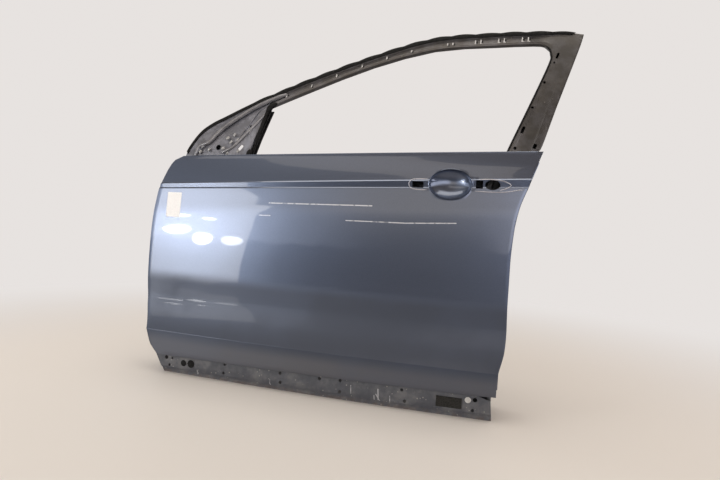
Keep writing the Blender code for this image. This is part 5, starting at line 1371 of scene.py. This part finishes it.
old_adhesive = make_toned("old_adhesive", (0.22, 0.22, 0.22), (0.46, 0.46, 0.45), 300.0, 0.28, 0.0006)
blob = blob_shape()
blob_points, blob_normals = on_frame(BLOBS)
for normal, (x, z) in zip(blob_normals, BLOBS):
    normal += Vector((0.2 * math.sin(70 * x), 0, 0.2 * math.cos(90 * z)))
set_at_points("adhesive_blobs", blob_points, blob_normals, blob, old_adhesive, turn=0.7)
drop(blob)

# %% [markdown]
# ## Floor, light and camera
#
# The door stands on a plain pale floor in a soft studio: a wide lamp above, a strip in front, and a window
# on the left that the paint mirrors as a bright patch. Only camera rays see the pale background, so it adds
# no light to the object.

# %% Floor
WALL = (0.8, 0.765, 0.745)
FLOOR_Z, FLOOR_SIZE = cad_low[2], 14.0
FLOOR_SEEN = (0.745, 0.725, 0.705)
FLOOR_MIRRORED = ((0.44, 0.43, 0.44), (0.14, 0.14, 0.15))


def make_floor():
    bm = bmesh.new()
    corners = ((-1, -1), (1, -1), (1, 1), (-1, 1))
    bm.faces.new([bm.verts.new((FLOOR_SIZE * x, FLOOR_SIZE * y, FLOOR_Z)) for x, y in corners])
    material, tree, surface = new_material("pale_floor", (0.7, 0.655, 0.6), 0.6)
    place = add(tree, "ShaderNodeTexCoord").outputs["Object"]
    away = vector_calc(tree, "DISTANCE", place, (0.5, -0.3, FLOOR_Z))
    seen = add(tree, "ShaderNodeLightPath").outputs["Is Camera Ray"]
    mirrored = mix_colour(tree, ramp(tree, away, 0.8, 1.7), *FLOOR_MIRRORED)
    feed(tree, surface, {"Base Color": mix_colour(tree, seen, mirrored, FLOOR_SEEN)})
    wall = add(tree, "ShaderNodeEmission", {"Color": WALL, "Strength": 1.0})
    blend = add(tree, "ShaderNodeMixShader", {0: times(tree, ramp(tree, away, 0.9, 2.4), seen),
                                              1: tree.nodes["Principled BSDF"], 2: wall})
    feed(tree, tree.nodes["Material Output"].inputs, {"Surface": blend})
    return piece("floor", bm, material)


make_floor()

# %% [markdown]
# A curved, shiny panel shows the room more than its own colour. For rays that bounce, the world is a simple
# room: dark below the horizon, a bright belt just above it, a calmer ceiling, and brighter sides. Camera
# rays only see an even backdrop.

# %% World


def make_world():
    world = bpy.data.worlds.new("studio")
    bpy.context.scene.world = world
    world.use_nodes = True
    tree = world.node_tree
    tree.nodes.clear()
    direction = add(tree, "ShaderNodeTexCoord").outputs["Generated"]
    across_x, up_z = axis(tree, direction, "X"), axis(tree, direction, "Z")
    belt, ceiling = ramp(tree, up_z, -0.1, 0.22), ramp(tree, up_z, 0.22, 0.45)
    room = mix_colour(tree, belt, (0.06, 0.067, 0.09), (1.3, 1.12, 0.9))
    room = mix_colour(tree, ceiling, room, (0.31, 0.238, 0.18))
    left = mix_colour(tree, belt, (1.5, 1.62, 1.9), (1.25, 1.25, 1.28))
    left = mix_colour(tree, ceiling, left, (0.36, 0.33, 0.3))
    room = mix_colour(tree, ramp(tree, across_x, -0.22, -0.52), room, left)
    right = times(tree, ramp(tree, across_x, -0.03, 0.14), ramp(tree, up_z, 0.42, 0.2))
    room = mix_colour(tree, right, room, (2.5, 2.4, 2.45))
    seen = add(tree, "ShaderNodeLightPath").outputs["Is Camera Ray"]
    sky = add(tree, "ShaderNodeBackground", {"Color": mix_colour(tree, seen, room, WALL), "Strength": 1.0})
    add(tree, "ShaderNodeOutputWorld", {"Surface": sky})


make_world()

# %% [markdown]
# The lamps' sizes decide how soft a shadow is, and their mirror image in the paint decides where its bright
# patches lie: the window on the left with a few round bulbs in front of it.

# %% Lamps
BULB_TARGET, BULB_POWER = (0.2, 0.04, 0.45), 2.5
BULBS = (
    (-1.749, -2.138, 0.613, 0.2, 0.05, 26.0), (-1.494, -2.261, 0.575, 0.11, 0.03, 26.0),
    (-1.759, -2.133, 0.431, 0.27, 0.1, 26.0), (-1.531, -2.243, 0.341, 0.18, 0.12, 30.0),
    (-1.281, -2.364, 0.333, 0.22, 0.1, 12.0),
)


def soft_lamp(name, place, target, size, power, colour=(1, 1, 1), shape="RECTANGLE", roll=0.0):
    lamp = bpy.data.lights.new(name, "AREA")
    lamp.shape = shape
    lamp.size, lamp.size_y = size
    lamp.energy = power
    lamp.color = colour
    item = link(name, lamp)
    item.location = to_row(place)
    aim = (to_row(target) - item.location).normalized()
    turned = aim.to_track_quat("-Z", "Y").to_matrix() @ Matrix.Rotation(math.radians(roll), 3, "Z")
    item.rotation_euler = turned.to_euler()
    item.visible_camera = False


soft_lamp("ceiling_lamp", (0.5, 0.1, 3.2), (0.5, 0.0, 0.3), (3.4, 2.2), 60.0, (1.0, 0.94, 0.85))
soft_lamp("front_strip", (-0.2, -1.75, 2.25), (0.5, 0.1, 0.6), (2.8, 0.5), 4.5, (1.0, 0.9, 0.78))
soft_lamp("window_left", (-1.7, -2.227, 0.549), (0.2, 0.04, 0.549), (1.24, 1.43), 22.5, (1.0, 0.965, 0.9),
          roll=-12.0)
for number, (x, y, z, wide, tall, glow) in enumerate(BULBS):
    power = glow * BULB_POWER * wide * tall
    soft_lamp(f"bulb_{number}", (x, y, z), BULB_TARGET, (wide, tall), power, shape="ELLIPSE")

# %% [markdown]
# The camera repeats the photograph's: a 30 mm lens on a 36 mm sensor, a little to the right of the door and
# just below its belt. Its three axes are written out, because the door leans slightly in the picture.

# %% Camera
CAMERA_LENS, CAMERA_SENSOR = 30.0, 36.0
CAMERA_PLACE = Vector((1.1803, -1.4904, 0.534))
CAMERA_RIGHT = Vector((0.94832, 0.3134, 0.04964))
CAMERA_UP = Vector((-0.06597, 0.04172, 0.99695))
CAMERA_FORWARD = Vector((-0.31037, 0.9487, -0.06024))


def make_camera():
    data = bpy.data.cameras.new("camera")
    data.lens, data.sensor_width = CAMERA_LENS, CAMERA_SENSOR
    item = link("camera", data)
    turn = Matrix((CAMERA_RIGHT, CAMERA_UP, -CAMERA_FORWARD)).transposed()
    item.matrix_world = Matrix.Translation(to_row(CAMERA_PLACE)) @ turn.to_4x4()
    bpy.context.scene.camera = item


make_camera()
bpy.context.scene.view_settings.view_transform = "Standard"
